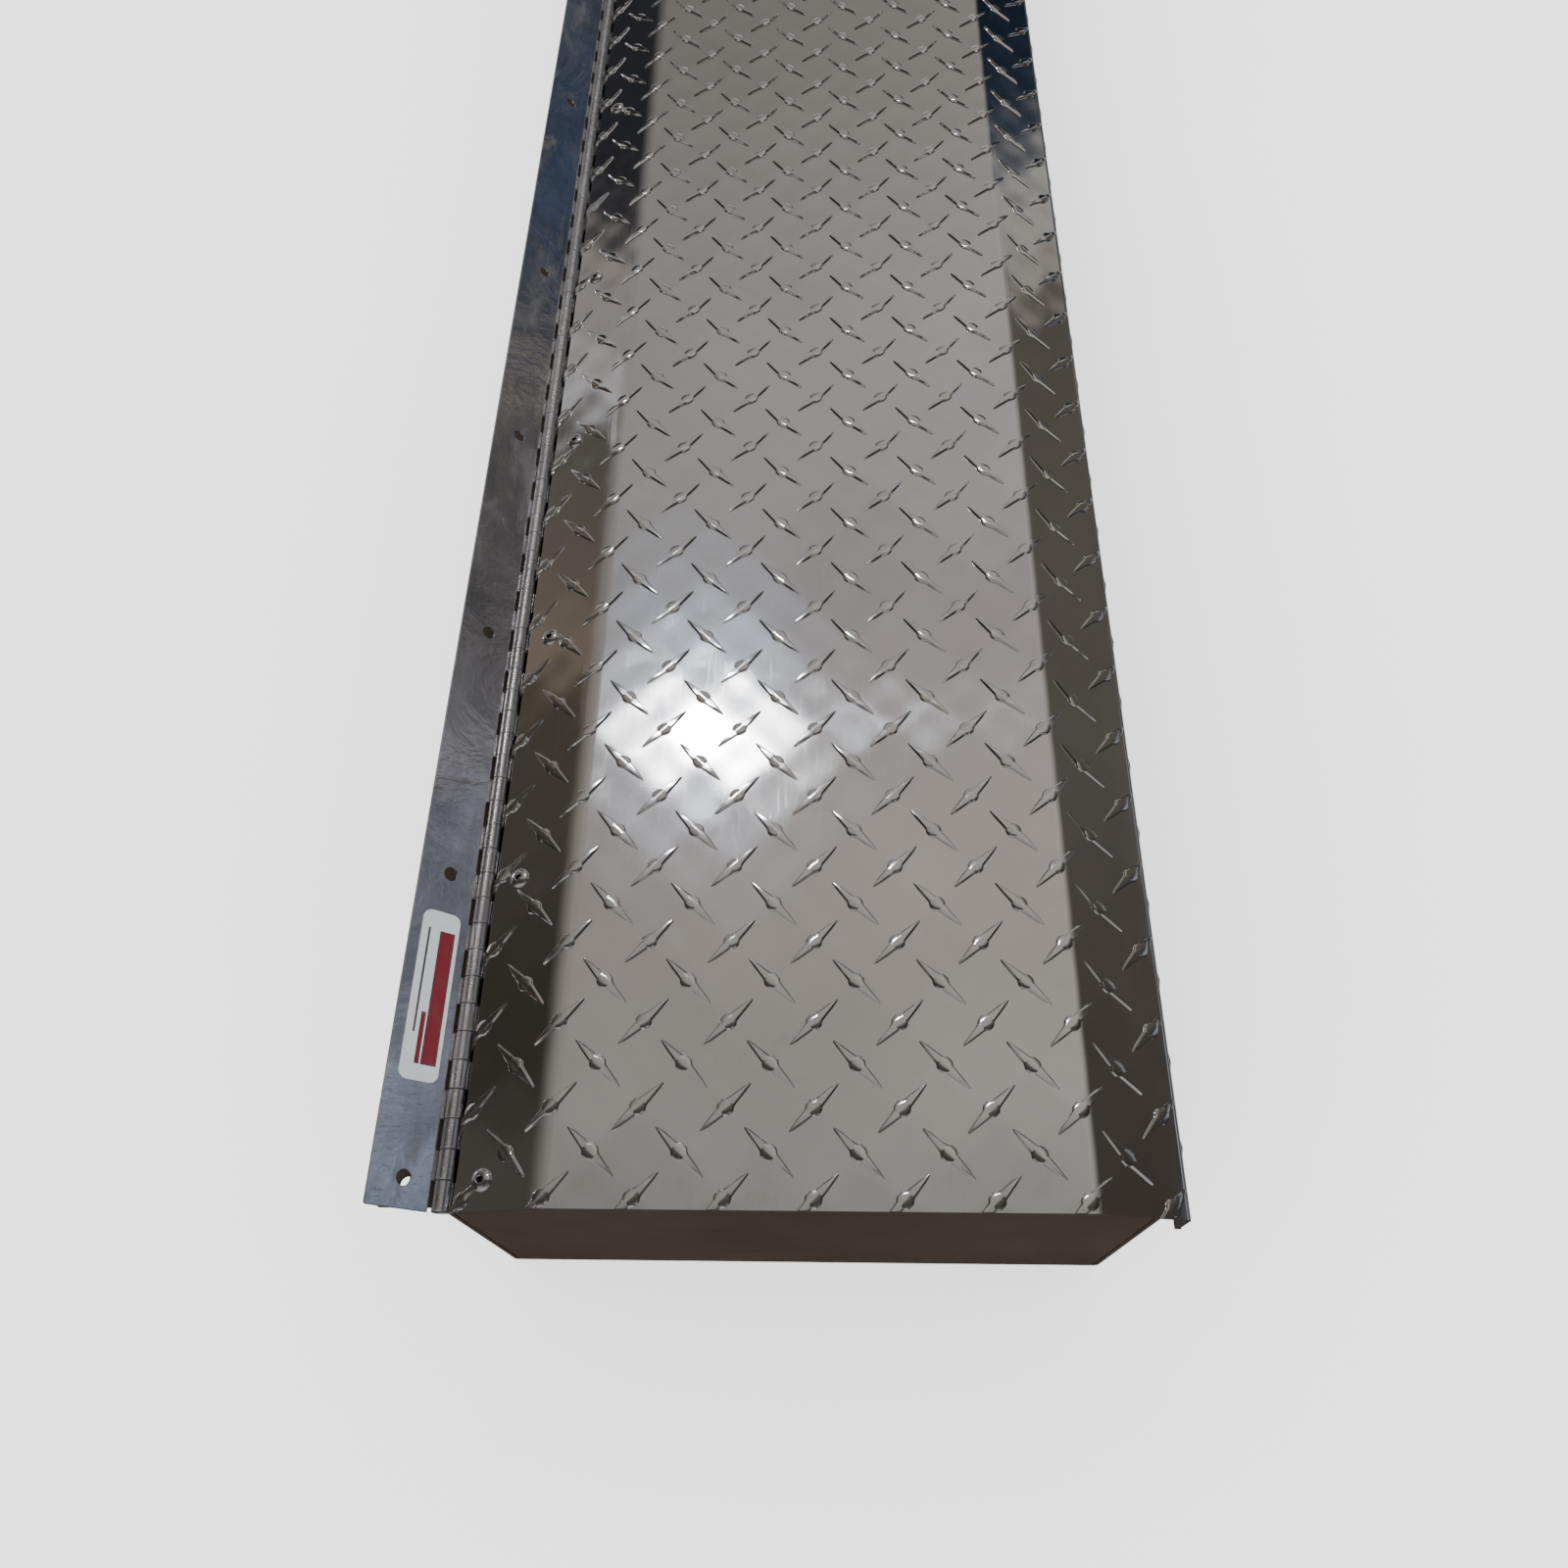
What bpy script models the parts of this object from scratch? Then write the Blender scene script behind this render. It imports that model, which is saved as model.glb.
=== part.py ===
# Low-profile truck tool box: a folded tub, a hinged lid with sloped sides on a
# continuous hinge, a bolt-down leaf, two paddle latches and two gas struts.
# Metres. X runs across the box (hinge at -X), Y along it, Z up.
# The origin is the centre of the tub's underside.
import math

import bmesh
import bpy
from mathutils import Matrix, Vector

MM = 0.001
ASSEMBLY = "truck_tool_box"

# Continuous hinge
KNUCKLE = 12.7 * MM
KNUCKLE_COUNT = 101
KNUCKLE_PLAY = 0.3 * MM
LENGTH = KNUCKLE * KNUCKLE_COUNT
HALF = LENGTH / 2
BARREL_R = 3.8 * MM
LEAF_T = 1.5 * MM
CURL_STEP = math.radians(37.5)
CURL_STEPS = 8
LID_LEAF_W = 32 * MM
MOUNT_LEAF_W = 32 * MM
SLOT_DEPTH = 0.9 * MM
PIN_R = 1.9 * MM
LEAF_TILT = math.radians(42)

# Fixings along the hinge: groups of equal pitch either side of a wider middle bay
END_MARGIN = 12.35 * MM
FIX_PITCH = 136 * MM
GROUP_SIZE = 5
LEAF_HOLE_R = 3.25 * MM
LEAF_HOLE_REACH = 17 * MM
RIVET_REACH = 17.6 * MM
RIVET_HEAD_R = 4.75 * MM
RIVET_HEAD_H = 1.9 * MM
RIVET_R = 2.4 * MM
RIVET_HOLE_R = 2.8 * MM
RIVET_TAIL_R = 3.4 * MM
RIVET_TAIL_L = 5 * MM

# Lid
LID_TOP = 165 * MM
LID_T = 2 * MM
LID_LEFT = -151.3 * MM
BEND_LEFT = -114.6 * MM
BEND_RIGHT = 110.7 * MM
LID_RIGHT = 149.6 * MM
SLOPE = math.radians(17.5)
LIP = 22 * MM
LID_EDGE_REACH = 5.2 * MM
BOND_GAP = 0.2 * MM
FIT_GAP = 0.3 * MM

# Tub
END_RECESS = 3 * MM
TUB_HALF = HALF - END_RECESS
WALL = 2 * MM
REAR = -158.6 * MM
FRONT = 141 * MM
RIM_TOP = 147.85 * MM
RIM_W = 12 * MM
FLANGE_REACH = 28 * MM
END_FLANGE = 20 * MM
END_TOP_DROP = 7 * MM

# Latches
LATCH_Y = 400 * MM
PAN_HALF = 46 * MM
PAN_LOW = 52 * MM
PAN_HIGH = 112 * MM
PAN_BACK = 117 * MM
PAN_WALL = 1.5 * MM
PAN_RIM = 10 * MM
GASKET_T = 1.5 * MM
PADDLE_PIVOT = (136 * MM, 104.5 * MM)
PADDLE_HUB_R = 4.8 * MM
PADDLE_HALF = 40 * MM
PADDLE_T = 3 * MM
PADDLE_LOW = 58 * MM
PAWL_PIVOT = (105 * MM, 92 * MM)
PAWL_HUB_R = 6 * MM
PAWL_HALF = 15 * MM
LATCH_PIN_R = 2.5 * MM
LATCH_BORE_R = 2.8 * MM
LATCH_RIVET_R = 2 * MM
WINDOW_CLEAR = MM
TAIL_HALF = 6 * MM
PADDLE_TAIL = 16.5 * MM
KEY_HALF = (0.6 * MM, 3.5 * MM)
LOCK_RIM = 1.5 * MM
LOCK_TAIL = 10 * MM
HOOK_REACH = 36 * MM
LOCK_Z = 82 * MM
LOCK_R = 7.5 * MM

# Gas struts, measured from the hinge axis in X and Z
STRUT_Y = 610 * MM
STRUT_BASE = (16 * MM, -36 * MM)
STRUT_STUD = (150 * MM, -10 * MM)
TUBE_R = 9 * MM
TUBE_BORE_R = 4.5 * MM
TUBE_L = 104 * MM
ROD_R = 4 * MM
EYE_R = 7 * MM
EYE_HALF = 4 * MM
EYE_LAP = 2 * MM
STUD_R = 3.8 * MM
TUBE_FLOOR = 6 * MM
ROD_START = 14 * MM
BASE_PLATE_HALF = (12 * MM, 16 * MM)
LID_WEB_REACH = 14 * MM

ROUND = 10
SMALL_ROUND = 8
LOCK_ROUND = 12
DIAGONAL = math.sqrt(0.5)

for leftover in list(bpy.data.objects):
    bpy.data.objects.remove(leftover, do_unlink=True)

parts = bpy.data.collections.new(ASSEMBLY)
cutters = bpy.data.collections.new("cutters")
bpy.context.scene.collection.children.link(parts)
bpy.context.scene.collection.children.link(cutters)

LOOKS = {
    "tub_paint": ((0.055, 0.038, 0.026), 0.45, 0.5),
    "tread_aluminium": ((0.80, 0.79, 0.77), 0.16, 1.0),
    "bright_aluminium": ((0.74, 0.76, 0.79), 0.18, 1.0),
    "hinge_steel": ((0.62, 0.62, 0.62), 0.3, 1.0),
    "rivet_aluminium": ((0.78, 0.78, 0.78), 0.25, 1.0),
    "zinc_steel": ((0.55, 0.56, 0.58), 0.35, 1.0),
    "polished_steel": ((0.70, 0.71, 0.73), 0.12, 1.0),
    "chrome_latch": ((0.72, 0.73, 0.75), 0.12, 1.0),
    "black_steel": ((0.03, 0.03, 0.032), 0.4, 0.6),
    "black_rubber": ((0.02, 0.02, 0.02), 0.8, 0.0),
    "white_label": ((0.85, 0.85, 0.84), 0.45, 0.0),
    "lock_brass": ((0.70, 0.52, 0.25), 0.25, 1.0),
}


def material(name, slot):
    """Give each node its own material in the look named by its slot."""
    colour, rough, metal = LOOKS[slot]
    mat = bpy.data.materials.new(name + "_" + slot)
    mat.use_nodes = True
    shader = mat.node_tree.nodes["Principled BSDF"]
    shader.inputs["Base Color"].default_value = (*colour, 1)
    shader.inputs["Roughness"].default_value = rough
    shader.inputs["Metallic"].default_value = metal
    return mat


def node(name, mesh, slot, origin=(0, 0, 0)):
    """Place a mesh, drawn in assembly coordinates, as a named part with its own origin."""
    mesh.transform(Matrix.Translation(-Vector(origin)))
    obj = bpy.data.objects.new(name, mesh)
    obj.location = origin
    obj.data.materials.append(material(name, slot))
    parts.objects.link(obj)
    return obj


def settle(work, name, frame=None):
    """Turn a working bmesh into a clean closed mesh with its faces out."""
    if frame is not None:
        bmesh.ops.transform(work, matrix=frame, verts=work.verts)
    bmesh.ops.remove_doubles(work, verts=work.verts, dist=1e-7)
    bmesh.ops.recalc_face_normals(work, faces=work.faces)
    mesh = bpy.data.meshes.new(name)
    work.to_mesh(mesh)
    work.free()
    return mesh


def baked(obj):
    """The mesh an object evaluates to; the object itself is removed."""
    graph = bpy.context.evaluated_depsgraph_get()
    mesh = bpy.data.meshes.new_from_object(obj.evaluated_get(graph))
    bpy.data.objects.remove(obj, do_unlink=True)
    return mesh


# Drawing planes: u and v are the outline's axes, w the direction it is pushed along
ACROSS = Matrix(((1, 0, 0, 0), (0, 0, -1, 0), (0, 1, 0, 0), (0, 0, 0, 1)))
PLAN = Matrix.Identity(4)
FACING = Matrix(((0, 0, 1, 0), (1, 0, 0, 0), (0, 1, 0, 0), (0, 0, 0, 1)))


def prism(outlines, low, high, plane=ACROSS):
    """Push a closed outline, less any holes listed after it, between two levels."""
    if plane is ACROSS:
        low, high = -high, -low
    curve = bpy.data.curves.new("outline", "CURVE")
    curve.dimensions = "2D"
    curve.fill_mode = "BOTH"
    curve.extrude = (high - low) / 2
    for outline in outlines:
        spline = curve.splines.new("POLY")
        spline.points.add(len(outline) - 1)
        for point, (u, v) in zip(spline.points, outline):
            point.co = (u, v, 0, 1)
        spline.use_cyclic_u = True
    drawn = bpy.data.objects.new("outline", curve)
    bpy.context.scene.collection.objects.link(drawn)
    work = bmesh.new()
    work.from_mesh(baked(drawn))
    bmesh.ops.remove_doubles(work, verts=work.verts, dist=1e-6)
    return settle(work, "prism", plane @ Matrix.Translation((0, 0, (low + high) / 2)))


def ring(centre, radius, sides, turn=0.5):
    """Corner points of a regular polygon."""
    return [
        (
            centre[0] + radius * math.cos(2 * math.pi * (k + turn) / sides),
            centre[1] + radius * math.sin(2 * math.pi * (k + turn) / sides),
        )
        for k in range(sides)
    ]


def rectangle(u0, u1, v0, v1):
    return [(u0, v0), (u1, v0), (u1, v1), (u0, v1)]


def block(low, high):
    """An upright box between two corners."""
    work = bmesh.new()
    bmesh.ops.create_cube(work, size=1)
    size = [b - a for a, b in zip(low, high)]
    middle = [(a + b) / 2 for a, b in zip(low, high)]
    return settle(work, "block", Matrix.Translation(middle) @ Matrix.Diagonal((*size, 1)))


def rod(radius, start, end, sides=ROUND):
    """A straight round bar from one point to another."""
    start, end = Vector(start), Vector(end)
    along = end - start
    work = bmesh.new()
    bmesh.ops.create_cone(
        work, cap_ends=True, segments=sides, radius1=radius, radius2=radius, depth=along.length
    )
    turn = along.to_track_quat("Z", "Y").to_matrix().to_4x4()
    return settle(work, "rod", Matrix.Translation((start + end) / 2) @ turn)


def lathe(profile, sides=ROUND, frame=None):
    """Turn a profile, drawn from its top down its outer side, about Z."""
    line = bpy.data.meshes.new("profile")
    line.from_pydata([(r, 0, z) for r, z in profile], [(k, k + 1) for k in range(len(profile) - 1)], [])
    drawn = bpy.data.objects.new("profile", line)
    bpy.context.scene.collection.objects.link(drawn)
    spin = drawn.modifiers.new("turn", "SCREW")
    spin.steps = sides
    spin.render_steps = sides
    spin.use_merge_vertices = True
    spin.merge_threshold = 1e-6
    work = bmesh.new()
    work.from_mesh(baked(drawn))
    return settle(work, "lathe", frame)


def gather(meshes):
    """Several closed solids in one mesh."""
    work = bmesh.new()
    for mesh in meshes:
        work.from_mesh(mesh)
    mesh = bpy.data.meshes.new("gathered")
    work.to_mesh(mesh)
    work.free()
    return mesh


def boolean(obj, meshes, operation):
    """Apply a stack of exact Booleans, one operand mesh at a time."""
    for mesh in meshes:
        tool = bpy.data.objects.new(obj.name + "_" + operation.lower(), mesh)
        tool.parent = obj.parent
        tool.location = (0, 0, 0)
        tool.hide_render = True
        tool.display_type = "WIRE"
        cutters.objects.link(tool)
        step = obj.modifiers.new(operation.lower(), "BOOLEAN")
        step.operation = operation
        step.solver = "EXACT"
        step.object = tool


def cut(obj, *meshes):
    boolean(obj, meshes, "DIFFERENCE")


def fuse(obj, *meshes):
    boolean(obj, meshes, "UNION")


def round_shading(obj):
    for face in obj.data.polygons:
        face.use_smooth = True
    obj.data.set_sharp_from_angle(angle=math.radians(40))


def fixing_stations():
    """Y of every fixing along the hinge, from the near end to the far end."""
    group = [HALF - END_MARGIN - k * FIX_PITCH for k in range(GROUP_SIZE)]
    return sorted([-y for y in group] + group)


def knuckle_centre(index):
    return -HALF + (index + 0.5) * KNUCKLE


# Hinge axis, placed from the lid's sloped rear strip
rise = math.tan(SLOPE)
strip_dir = Vector((math.cos(SLOPE), 0, math.sin(SLOPE)))
strip_up = Vector((-math.sin(SLOPE), 0, math.cos(SLOPE)))
lid_edge = Vector((LID_LEFT, 0, LID_TOP - (BEND_LEFT - LID_LEFT) * rise))
leaf_heel = lid_edge - strip_up * (LID_T + BOND_GAP + LEAF_T) - strip_dir * LID_EDGE_REACH
axis_point = leaf_heel + strip_up * BARREL_R
AX, AZ = axis_point.x, axis_point.z
HINGE = (AX, 0, AZ)


def leaf_frame(direction, up):
    """Local leaf plane: u away from the axis along the leaf, v towards the barrel."""
    heel = Vector((AX, 0, AZ)) - up * BARREL_R
    side = direction.cross(up)
    return Matrix(
        (
            (direction.x, up.x, side.x, heel.x),
            (direction.y, up.y, side.y, heel.y),
            (direction.z, up.z, side.z, heel.z),
            (0, 0, 0, 1),
        )
    )


def leaf_outline(width):
    """A flat leaf whose edge is rolled round the pin."""
    angles = [-math.pi / 2 - k * CURL_STEP for k in range(CURL_STEPS + 1)]
    inner = BARREL_R - LEAF_T
    outside = [(BARREL_R * math.cos(a), BARREL_R + BARREL_R * math.sin(a)) for a in angles]
    inside = [(inner * math.cos(a), BARREL_R + inner * math.sin(a)) for a in reversed(angles)]
    return [(width, 0)] + outside + inside + [(width, LEAF_T)]


def hinge_leaf(name, frame, width, own_first, hole_reach, hole_r, slot):
    """A leaf with a rolled knuckle at every other pitch and a row of holes."""
    mesh = prism([leaf_outline(width)], -HALF + KNUCKLE_PLAY / 2, HALF - KNUCKLE_PLAY / 2, PLAN)
    mesh.transform(frame)
    gaps = []
    for index in range(1 if own_first else 0, KNUCKLE_COUNT, 2):
        middle = knuckle_centre(index)
        if frame[1][2] < 0:
            middle = -middle
        half = KNUCKLE / 2 + KNUCKLE_PLAY / 2
        gap = block(
            (-BARREL_R - MM, -MM, middle - half),
            (BARREL_R + SLOT_DEPTH, 2 * BARREL_R + MM, middle + half),
        )
        gap.transform(frame)
        gaps.append(gap)
    holes = []
    for y in fixing_stations():
        low = frame @ Vector((hole_reach, -2 * MM, 0))
        high = frame @ Vector((hole_reach, LEAF_T + 2 * MM, 0))
        holes.append(rod(hole_r, (low.x, y, low.z), (high.x, y, high.z)))
    leaf = node(name, mesh, slot, HINGE)
    cut(leaf, gather(gaps), gather(holes))
    return leaf


lid_frame = leaf_frame(strip_dir, strip_up)
hinge_leaf("lid_leaf", lid_frame, LID_LEAF_W, True, RIVET_REACH, RIVET_HOLE_R, "bright_aluminium")

tilt_dir = Vector((-math.cos(LEAF_TILT), 0, math.sin(LEAF_TILT)))
tilt_up = Vector((math.sin(LEAF_TILT), 0, math.cos(LEAF_TILT)))
mount_frame = leaf_frame(tilt_dir, tilt_up)
mounting_leaf = hinge_leaf(
    "mounting_leaf", mount_frame, MOUNT_LEAF_W, False, LEAF_HOLE_REACH, LEAF_HOLE_R, "bright_aluminium"
)

pin_end = HALF - MM
pin_bar = rod(PIN_R, (AX, -pin_end, AZ), (AX, pin_end, AZ), SMALL_ROUND)
hinge_pin = node("hinge_pin", pin_bar, "hinge_steel", HINGE)
round_shading(hinge_pin)

# Lid skin: a folded plate with a front lip
front_edge_z = LID_TOP - (LID_RIGHT - BEND_RIGHT) * rise
skin_fall = LID_T / math.cos(SLOPE)
mitre = LID_T * math.tan(SLOPE / 2)
inner_lip = LID_RIGHT - LID_T
skin_outline = [
    (LID_LEFT, lid_edge.z),
    (BEND_LEFT, LID_TOP),
    (BEND_RIGHT, LID_TOP),
    (LID_RIGHT, front_edge_z),
    (LID_RIGHT, front_edge_z - LIP),
    (inner_lip, front_edge_z - LIP),
    (inner_lip, front_edge_z + LID_T * rise - skin_fall),
    (BEND_RIGHT - mitre, LID_TOP - LID_T),
    (BEND_LEFT + mitre, LID_TOP - LID_T),
    (LID_LEFT + LID_T * math.sin(SLOPE), lid_edge.z - LID_T * math.cos(SLOPE)),
]
lid_skin = node("lid_skin", prism([skin_outline], -HALF, HALF), "tread_aluminium", HINGE)
skin_holes = []
for y in fixing_stations():
    low = lid_frame @ Vector((RIVET_REACH, -MM, 0))
    high = lid_frame @ Vector((RIVET_REACH, 3 * LID_T + MM, 0))
    skin_holes.append(rod(RIVET_HOLE_R, (low.x, y, low.z), (high.x, y, high.z)))
cut(lid_skin, gather(skin_holes))

# Blind rivets through lid and hinge leaf: domed head on top, set tail below
skin_top = LEAF_T + BOND_GAP + LID_T
head_base = skin_top + BOND_GAP
rivet_profile = [
    (0, head_base + RIVET_HEAD_H),
    (RIVET_HEAD_R * 0.6, head_base + RIVET_HEAD_H * 0.8),
    (RIVET_HEAD_R, head_base),
    (RIVET_R, head_base),
    (RIVET_R, -BOND_GAP),
    (RIVET_TAIL_R, -BOND_GAP - RIVET_TAIL_L * 0.4),
    (RIVET_R, -BOND_GAP - RIVET_TAIL_L),
    (0, -BOND_GAP - RIVET_TAIL_L),
]
seat = lid_frame @ Vector((RIVET_REACH, 0, 0))
for number, y in enumerate(fixing_stations(), start=1):
    stand = Matrix.Translation((seat.x, y, seat.z)) @ Matrix.Rotation(-SLOPE, 4, "Y")
    rivet = lathe(rivet_profile, SMALL_ROUND, stand)
    round_shading(node("lid_rivet_%02d" % number, rivet, "rivet_aluminium", HINGE))

# Stiffening hats bonded under the flat of the lid
HAT_PITCH = 220 * MM
HAT_HEIGHT = 14 * MM
HAT_CROWN = 12 * MM
HAT_FOOT = 26 * MM
HAT_T = 1.5 * MM
HAT_INSET = 10 * MM
under = LID_TOP - LID_T - FIT_GAP
for label, station in (("near", -HAT_PITCH), ("middle", 0.0), ("far", HAT_PITCH)):
    hat = [
        (station - HAT_FOOT, under),
        (station - HAT_CROWN - HAT_T, under),
        (station - HAT_CROWN, under - HAT_HEIGHT + HAT_T),
        (station + HAT_CROWN, under - HAT_HEIGHT + HAT_T),
        (station + HAT_CROWN + HAT_T, under),
        (station + HAT_FOOT, under),
        (station + HAT_FOOT, under - HAT_T),
        (station + HAT_CROWN + 2 * HAT_T, under - HAT_T),
        (station + HAT_CROWN + HAT_T, under - HAT_HEIGHT),
        (station - HAT_CROWN - HAT_T, under - HAT_HEIGHT),
        (station - HAT_CROWN - 2 * HAT_T, under - HAT_T),
        (station - HAT_FOOT, under - HAT_T),
    ]
    span = prism([hat], BEND_LEFT + HAT_INSET, BEND_RIGHT - HAT_INSET, FACING)
    node("lid_stiffener_" + label, span, "bright_aluminium", HINGE)

# Generic blank label on the mounting leaf, between its first two holes
LABEL_T = 0.3 * MM
LABEL_GAP = 0.1 * MM
LABEL_MIDDLE = -550.9 * MM
LABEL_LONG = 76.9 * MM
LABEL_SPAN = (8.8 * MM, 26.8 * MM)
LABEL_CORNER = 4 * MM
turned_middle = LABEL_MIDDLE * (1 if mount_frame[1][2] > 0 else -1)
label_outline = []
for u_edge, w_edge, quarter in (
    (LABEL_SPAN[1], turned_middle + LABEL_LONG / 2, 0),
    (LABEL_SPAN[0], turned_middle + LABEL_LONG / 2, 1),
    (LABEL_SPAN[0], turned_middle - LABEL_LONG / 2, 2),
    (LABEL_SPAN[1], turned_middle - LABEL_LONG / 2, 3),
):
    cu = u_edge + LABEL_CORNER * (-1 if quarter in (0, 3) else 1)
    cw = w_edge + LABEL_CORNER * (-1 if quarter in (0, 1) else 1)
    for k in range(4):
        a = (quarter + k / 3) * math.pi / 2
        label_outline.append((cu + LABEL_CORNER * math.cos(a), cw + LABEL_CORNER * math.sin(a)))
label_mesh = prism([label_outline], 0, LABEL_T, PLAN)
upright = Matrix(((1, 0, 0, 0), (0, 0, 1, LEAF_T + LABEL_GAP), (0, 1, 0, 0), (0, 0, 0, 1)))
label_mesh.transform(mount_frame @ upright)
label_mesh.flip_normals()
mounting_label = node("mounting_label", label_mesh, "white_label", HINGE)

# Tub: flange, rear wall, floor, front wall and inward rim folded from one sheet
flange_left = AX - FLANGE_REACH
tub_outline = [
    (flange_left, RIM_TOP),
    (REAR + WALL, RIM_TOP),
    (REAR + WALL, WALL),
    (FRONT - WALL, WALL),
    (FRONT - WALL, RIM_TOP - WALL),
    (FRONT - RIM_W, RIM_TOP - WALL),
    (FRONT - RIM_W, RIM_TOP),
    (FRONT, RIM_TOP),
    (FRONT, 0),
    (REAR, 0),
    (REAR, RIM_TOP - WALL),
    (flange_left, RIM_TOP - WALL),
]
tub_shell = node("tub_shell", prism([tub_outline], -TUB_HALF, TUB_HALF), "tub_paint")
flange_holes = [
    rod(LEAF_HOLE_R, (AX - LEAF_HOLE_REACH, y, RIM_TOP - 3 * WALL), (AX - LEAF_HOLE_REACH, y, RIM_TOP + WALL))
    for y in fixing_stations()
]
latch_stations = (("near", -LATCH_Y), ("far", LATCH_Y))
windows = [
    block(
        (FRONT - 3 * WALL, y - PAN_HALF - WINDOW_CLEAR, PAN_LOW - WINDOW_CLEAR),
        (FRONT + 3 * WALL, y + PAN_HALF + WINDOW_CLEAR, PAN_HIGH + WINDOW_CLEAR),
    )
    for _, y in latch_stations
]


def latch_rivet_spots(y):
    reach = PAN_HALF + PAN_RIM / 2
    return [
        (y + side * reach, z)
        for side in (-1, 1)
        for z in (PAN_LOW - PAN_RIM / 2, PAN_HIGH + PAN_RIM / 2)
    ]


rivet_ways = [
    rod(LATCH_RIVET_R + FIT_GAP, (FRONT - 3 * WALL, y, z), (FRONT + 5 * WALL, y, z), SMALL_ROUND)
    for _, station in latch_stations
    for y, z in latch_rivet_spots(station)
]
cut(tub_shell, gather(flange_holes), gather(windows), gather(rivet_ways))


def outer_surface(x):
    """Height of the lid's outer surface above a point across the box."""
    if x < BEND_LEFT:
        return LID_TOP - (BEND_LEFT - x) * rise
    return LID_TOP - max(0.0, x - BEND_RIGHT) * rise


# End panels: flanged plates that close the tub and follow the lid's fall
panel_left = REAR + WALL + FIT_GAP
panel_right = FRONT - WALL - FIT_GAP
rim_left = FRONT - RIM_W - FIT_GAP
under_rim = RIM_TOP - WALL - FIT_GAP
panel_outline = [
    (panel_left, WALL + FIT_GAP),
    (panel_right, WALL + FIT_GAP),
    (panel_right, under_rim),
    (rim_left, under_rim),
    (rim_left, outer_surface(rim_left) - END_TOP_DROP),
    (BEND_RIGHT, LID_TOP - END_TOP_DROP),
    (BEND_LEFT, LID_TOP - END_TOP_DROP),
    (LID_LEFT, lid_edge.z - END_TOP_DROP),
    (panel_left, lid_edge.z - END_TOP_DROP - MM),
]
SEAL_W = 5 * MM
seal_left = LID_LEFT + 2 * MM
leaf_clear = (AX + LID_LEAF_W) + 2 * MM
seal_outline = [
    (seal_left, outer_surface(seal_left) - END_TOP_DROP + FIT_GAP),
    (BEND_LEFT, LID_TOP - END_TOP_DROP + FIT_GAP),
    (BEND_RIGHT, LID_TOP - END_TOP_DROP + FIT_GAP),
    (rim_left, outer_surface(rim_left) - END_TOP_DROP + FIT_GAP),
    (rim_left, outer_surface(rim_left) - LID_T - 2 * FIT_GAP),
    (BEND_RIGHT, LID_TOP - LID_T - 2 * FIT_GAP),
    (BEND_LEFT, LID_TOP - LID_T - 2 * FIT_GAP),
    (leaf_clear, outer_surface(leaf_clear) - LID_T - 2 * FIT_GAP),
    (leaf_clear, outer_surface(leaf_clear) - LID_T - LEAF_T - 3 * FIT_GAP),
    (seal_left, outer_surface(seal_left) - LID_T - LEAF_T - 3 * FIT_GAP),
]
for label, sign in (("near", -1), ("far", 1)):
    outer, inner = sign * TUB_HALF, sign * (TUB_HALF - END_FLANGE)
    panel = node("end_panel_" + label, prism([panel_outline], *sorted((outer, inner))), "tub_paint")
    hollow_edge = sign * (TUB_HALF - WALL)
    low_y, high_y = sorted((hollow_edge, sign * (TUB_HALF - 2 * END_FLANGE)))
    pocket = block(
        (panel_left + WALL, low_y, 2 * WALL + FIT_GAP),
        (panel_right - WALL, high_y, LID_TOP + WALL),
    )
    cut(panel, pocket)
    low_y, high_y = sorted((outer, sign * (TUB_HALF - SEAL_W)))
    node("seal_" + label, prism([seal_outline], low_y, high_y), "black_rubber")

# Front seal, sitting on the rim between the end seals
seal_end = TUB_HALF - SEAL_W - FIT_GAP
front_seal = [
    (FRONT - RIM_W + MM, RIM_TOP + FIT_GAP),
    (FRONT - 3 * MM, RIM_TOP + FIT_GAP),
    (FRONT - 3 * MM, outer_surface(FRONT - 3 * MM) - skin_fall - FIT_GAP),
    (FRONT - RIM_W + MM, outer_surface(FRONT - RIM_W + MM) - skin_fall - FIT_GAP),
]
node("seal_front", prism([front_seal], -seal_end, seal_end), "black_rubber")

# Paddle latches
px, pz = PADDLE_PIVOT
hx, hz = PAWL_PIVOT
flange_back = FRONT + 2 * FIT_GAP + GASKET_T
flange_face = flange_back + PAN_WALL
pan_cavity = PAN_HALF - PAN_WALL
EAR_GAP = 3 * MM
EAR_T = 2.5 * MM
hook_foot_z = hz + HOOK_REACH
STRIKER_HALF = 12 * MM
STRIKER_T = 2 * MM
hook = [
    (-PAWL_HUB_R, -3 * MM),
    (-3 * MM, -PAWL_HUB_R),
    (3 * MM, -PAWL_HUB_R),
    (PAWL_HUB_R, -3 * MM),
    (10 * MM, 2 * MM),
    (10 * MM, 5 * MM),
    (4 * MM, 8 * MM),
    (3.5 * MM, 42 * MM),
    (-4 * MM, 42 * MM),
    (-6.5 * MM, 39 * MM),
    (-6.5 * MM, 36 * MM),
    (-1.8 * MM, 36 * MM),
    (-1.8 * MM, 12 * MM),
    (-PAWL_HUB_R, 3 * MM),
]
paddle_face = px + PADDLE_HUB_R - MM
paddle_back = paddle_face - PADDLE_T
tail_tip = px - PADDLE_TAIL
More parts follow.
